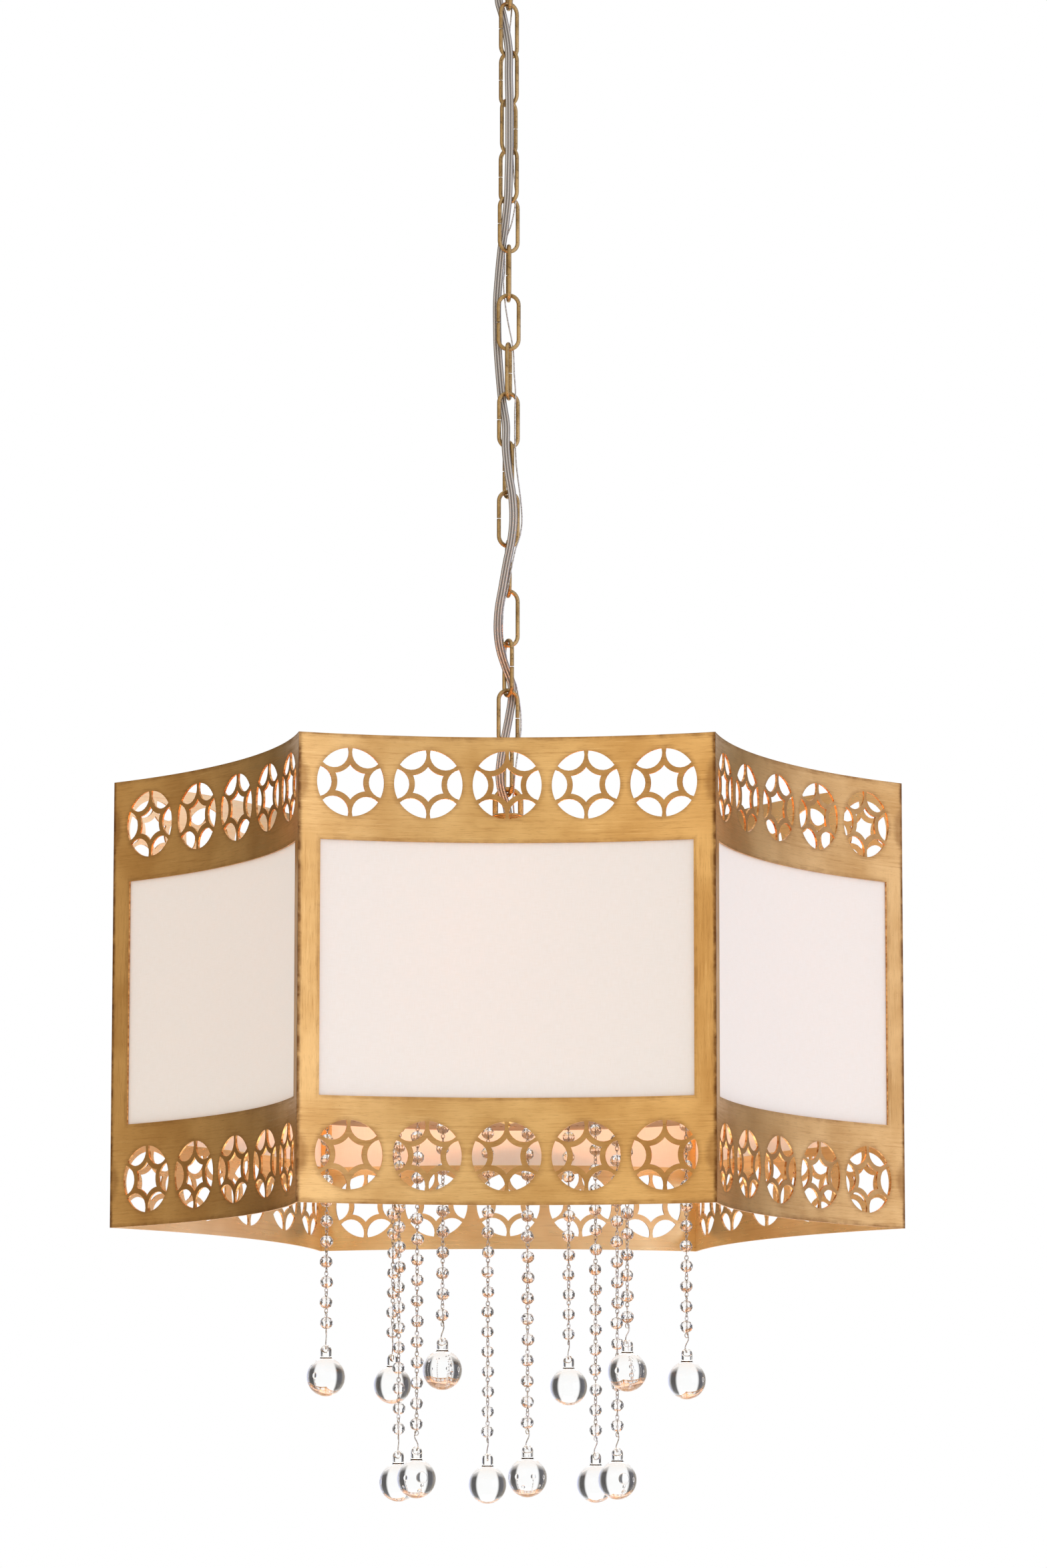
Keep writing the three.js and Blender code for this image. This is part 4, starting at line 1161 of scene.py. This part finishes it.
def strand_shapes(centre):
    """Beads, wires and pressed ball of a strand hung from its stop, the ball round centre."""
    across = Vector((0, 1, 0))
    last = centre + BALL_LINK
    first = -STOP_HEIGHT - PLATE_THICKNESS - BEAD_FIRST_DROP
    count = math.floor((first - last) / BEAD_PITCH) + 1
    glass = Shape()
    wire = Shape()
    spin = rng.uniform(0, 6.28)
    for b in range(count):
        z = last + b * BEAD_PITCH
        sway = Vector((rng.uniform(-0.35, 0.35), rng.uniform(-0.35, 0.35), z))
        tilt = Matrix.Rotation(rng.uniform(-0.10, 0.10), 4, "X")
        glass.add(facet_bead(rng.uniform(0, 6.28)), smooth=False,
                  matrix=Matrix.Translation(sway) @ tilt)
        spin += rng.uniform(0.5, 1.4)
        wire.add(sweep([(0, 0, z - 5.4), (0, 0, z + 5.4)], circle(0.35, 6),
                       first=Vector((1, 0, 0))))
        if b:
            wire.add(eye(z - BEAD_PITCH / 2 - 1.3, spin))
            wire.add(eye(z - BEAD_PITCH / 2 + 1.3, spin + 1.5))
    # up from the top bead to the stop above the plate
    top = last + (count - 1) * BEAD_PITCH
    rise = [(0, 0, top + 5), (0.6, 0, top + 7.5), (0, 0, top + 10)]
    z = top + 10
    while z < -1.5:
        rise.append((0.3 * math.sin(z), 0, z))
        z += 2.5
    rise.append((0, 0, 0))
    wire.add(sweep(rise, circle(0.45, 8), first=across))
    wire.add(lathe(arc(0, 0, STOP_RADIUS - 0.6, STOP_RADIUS - 0.6, -90, 90, 8), 14))
    wire.add(eye(top + 7.2, spin, height=2.2, width=1.6))
    # the long hook from the last bead to the ball's neck
    neck_top = centre + BALL_RADIUS + BALL_NECK_LENGTH
    hook = []
    for k in range(13):
        t = k / 12
        z = last - 5.2 + (neck_top - 3.6 - last + 5.2) * t
        hook.append((1.6 * math.sin(2 * math.pi * t) * (1 - 0.3 * t), 0, z))
    wire.add(sweep(hook, circle(0.45, 8), first=across), matrix=Matrix.Rotation(spin, 4, "Z"))
    wire.add(eye(last - 6.6, spin, width=1.4))
    wire.add(eye(neck_top - 3.4, spin + 0.4, height=2.6, width=2.9, wire=0.4))
    # pressed ball with its pierced neck
    body = arc(0, centre, BALL_RADIUS, BALL_RADIUS, -90, 70, 40)
    throat = body[-1][1]
    body += [(4.45, throat + 0.6), (4.2, throat + 1.6), (4.3, neck_top - 4.4),
             *arc(0, neck_top - 4.4, 4.3, 4.4, 10, 90, 8)]
    return glass, wire, Shape().add(lathe(body, 56))


def make_strands():
    stop = PLATE_TOP + STOP_HEIGHT
    for ring, radius, turn, ball_height in STRAND_RINGS:
        for k in range(6):
            name = f"{ring}_strand_{k + 1:02d}"
            angle = turn + 60 * k
            a = math.radians(angle)
            spot = turn_z(angle, stop, radius * math.cos(a), radius * math.sin(a))
            beads, wire, orb = strand_shapes(FRAME_BOTTOM + ball_height - stop)
            for shape, label, look, slot in ((beads, "beads", BEAD_GLASS, "clear_glass"),
                                             (wire, "wire", SILVER, "bare_wire"),
                                             (orb, "ball", BALL_GLASS, "clear_glass")):
                settle(shape.make(f"{name}_{label}", [look]), name, name, spot)


# ---------- nodes kept from the frame ----------

def dress_kept():
    for node, look in (("mounting_strap", ZINC), ("lock_nut", ZINC), ("centre_rod", ROD_BRASS)):
        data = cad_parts[node].data
        data.materials.clear()
        data.materials.append(look)


make_cords()
make_chain()
make_loops()
make_canopy()
make_sheets()
make_linen()
make_spider()
make_finial()
make_lamps()
make_plate()
make_strands()
dress_kept()


# ---------- studio ----------

def add_area(name, place_at, size, power, tint):
    """Soft light aimed at the middle of the lantern."""
    light = bpy.data.lights.new(name, "AREA")
    light.shape = "RECTANGLE"
    light.size, light.size_y = size
    light.energy = power
    light.color = tint
    lamp = place(name, light)
    lamp.location = place_at
    aim = Vector((0, 0, -0.9)) - Vector(place_at)
    lamp.rotation_euler = aim.to_track_quat("-Z", "Y").to_euler()
    lamp.visible_camera = False


def surroundings():
    """A ring of light and dark round the lantern for polished faces; cameras see it white."""
    world = bpy.data.worlds.new("studio")
    bpy.context.scene.world = world
    world.use_nodes = True
    world.node_tree.nodes.clear()
    n = Nodes(world.node_tree)
    x, y, z = n.split(n.coordinates("Generated"))
    ring = n.new("ShaderNodeValToRGB")
    n.link(n.span(n.math("ARCTAN2", x, y), -math.pi, math.pi), ring.inputs[0])
    warm = (1.0, 0.85, 0.66)
    cool = (0.96, 1.0, 1.32)
    plain = (1.0, 1.0, 1.0)
    dim = (1.0, 0.95, 0.86)
    stops = [(0.0, 0.88, plain), (0.14, 0.84, warm), (0.22, 0.54, warm), (0.30, 0.40, warm),
             (0.355, 0.20, warm), (0.38, 0.05, dim), (0.42, 0.05, dim), (0.44, 1.0, plain),
             (0.56, 1.0, plain), (0.58, 0.05, dim), (0.62, 0.05, dim), (0.64, 0.34, plain),
             (0.68, 0.86, cool), (0.78, 1.12, cool), (0.86, 0.92, cool), (1.0, 0.88, plain)]
    ramp = ring.color_ramp
    ramp.interpolation = "EASE"
    while len(ramp.elements) < len(stops):
        ramp.elements.new(0.5)
    for element, (share, level, tint) in zip(ramp.elements, stops):
        element.position = share
        element.color = (level * tint[0], level * tint[1], level * tint[2], 1)
    above = n.mix(n.span(z, 0.55, 0.95), ring.outputs[0], (1.15, 1.15, 1.15, 1))
    below = n.mix(n.span(z, -0.28, -0.62), above, (1.0, 0.97, 0.94, 1))
    # matt surfaces see a plainer ring than polished ones do
    seen = n.new("ShaderNodeLightPath")
    matt = n.times(seen.outputs["Is Diffuse Ray"], 0.7)
    softer = n.mix(matt, below, (0.83, 0.81, 0.79, 1))
    shown = n.mix(seen.outputs["Is Camera Ray"], softer, (1, 1, 1, 1))
    back = n.fill(n.new("ShaderNodeBackground"), Color=shown)
    n.fill(n.new("ShaderNodeOutputWorld"), Surface=back.outputs[0])


def make_floor():
    floor = Shape()
    floor.add(([(x * FLOOR_HALF, y * FLOOR_HALF, FLOOR_LEVEL)
                for x, y in ((-1, -1), (1, -1), (1, 1), (-1, 1))], [[0, 1, 2, 3]]), smooth=False)
    n = Look("floor")
    n.paint(Base_Color=rgb(248, 246, 243), Roughness=0.9,
            Emission_Color=rgb(255, 252, 248), Emission_Strength=0.22)
    floor.make("floor", [n.material])


def add_camera():
    data = bpy.data.cameras.new("camera")
    data.lens = CAMERA_LENS
    data.sensor_width = 36
    data.clip_end = 50
    camera = place("camera", data)
    camera.location = CAMERA_PLACE
    camera.rotation_euler = (math.radians(90 + CAMERA_TILT), math.radians(CAMERA_ROLL), 0)
    bpy.context.scene.camera = camera


surroundings()
make_floor()
add_area("key", (-1.6, -3.2, 0.6), (2.6, 2.6), 7, (1.0, 0.98, 0.96))
add_area("fill", (2.6, -2.4, -0.8), (2.2, 2.6), 12, (0.98, 0.99, 1.0))
add_area("under", (0, 0.2, -3.4), (2.2, 2.2), 44, (1.0, 0.97, 0.94))
add_camera()
bpy.context.scene.view_settings.view_transform = "Standard"
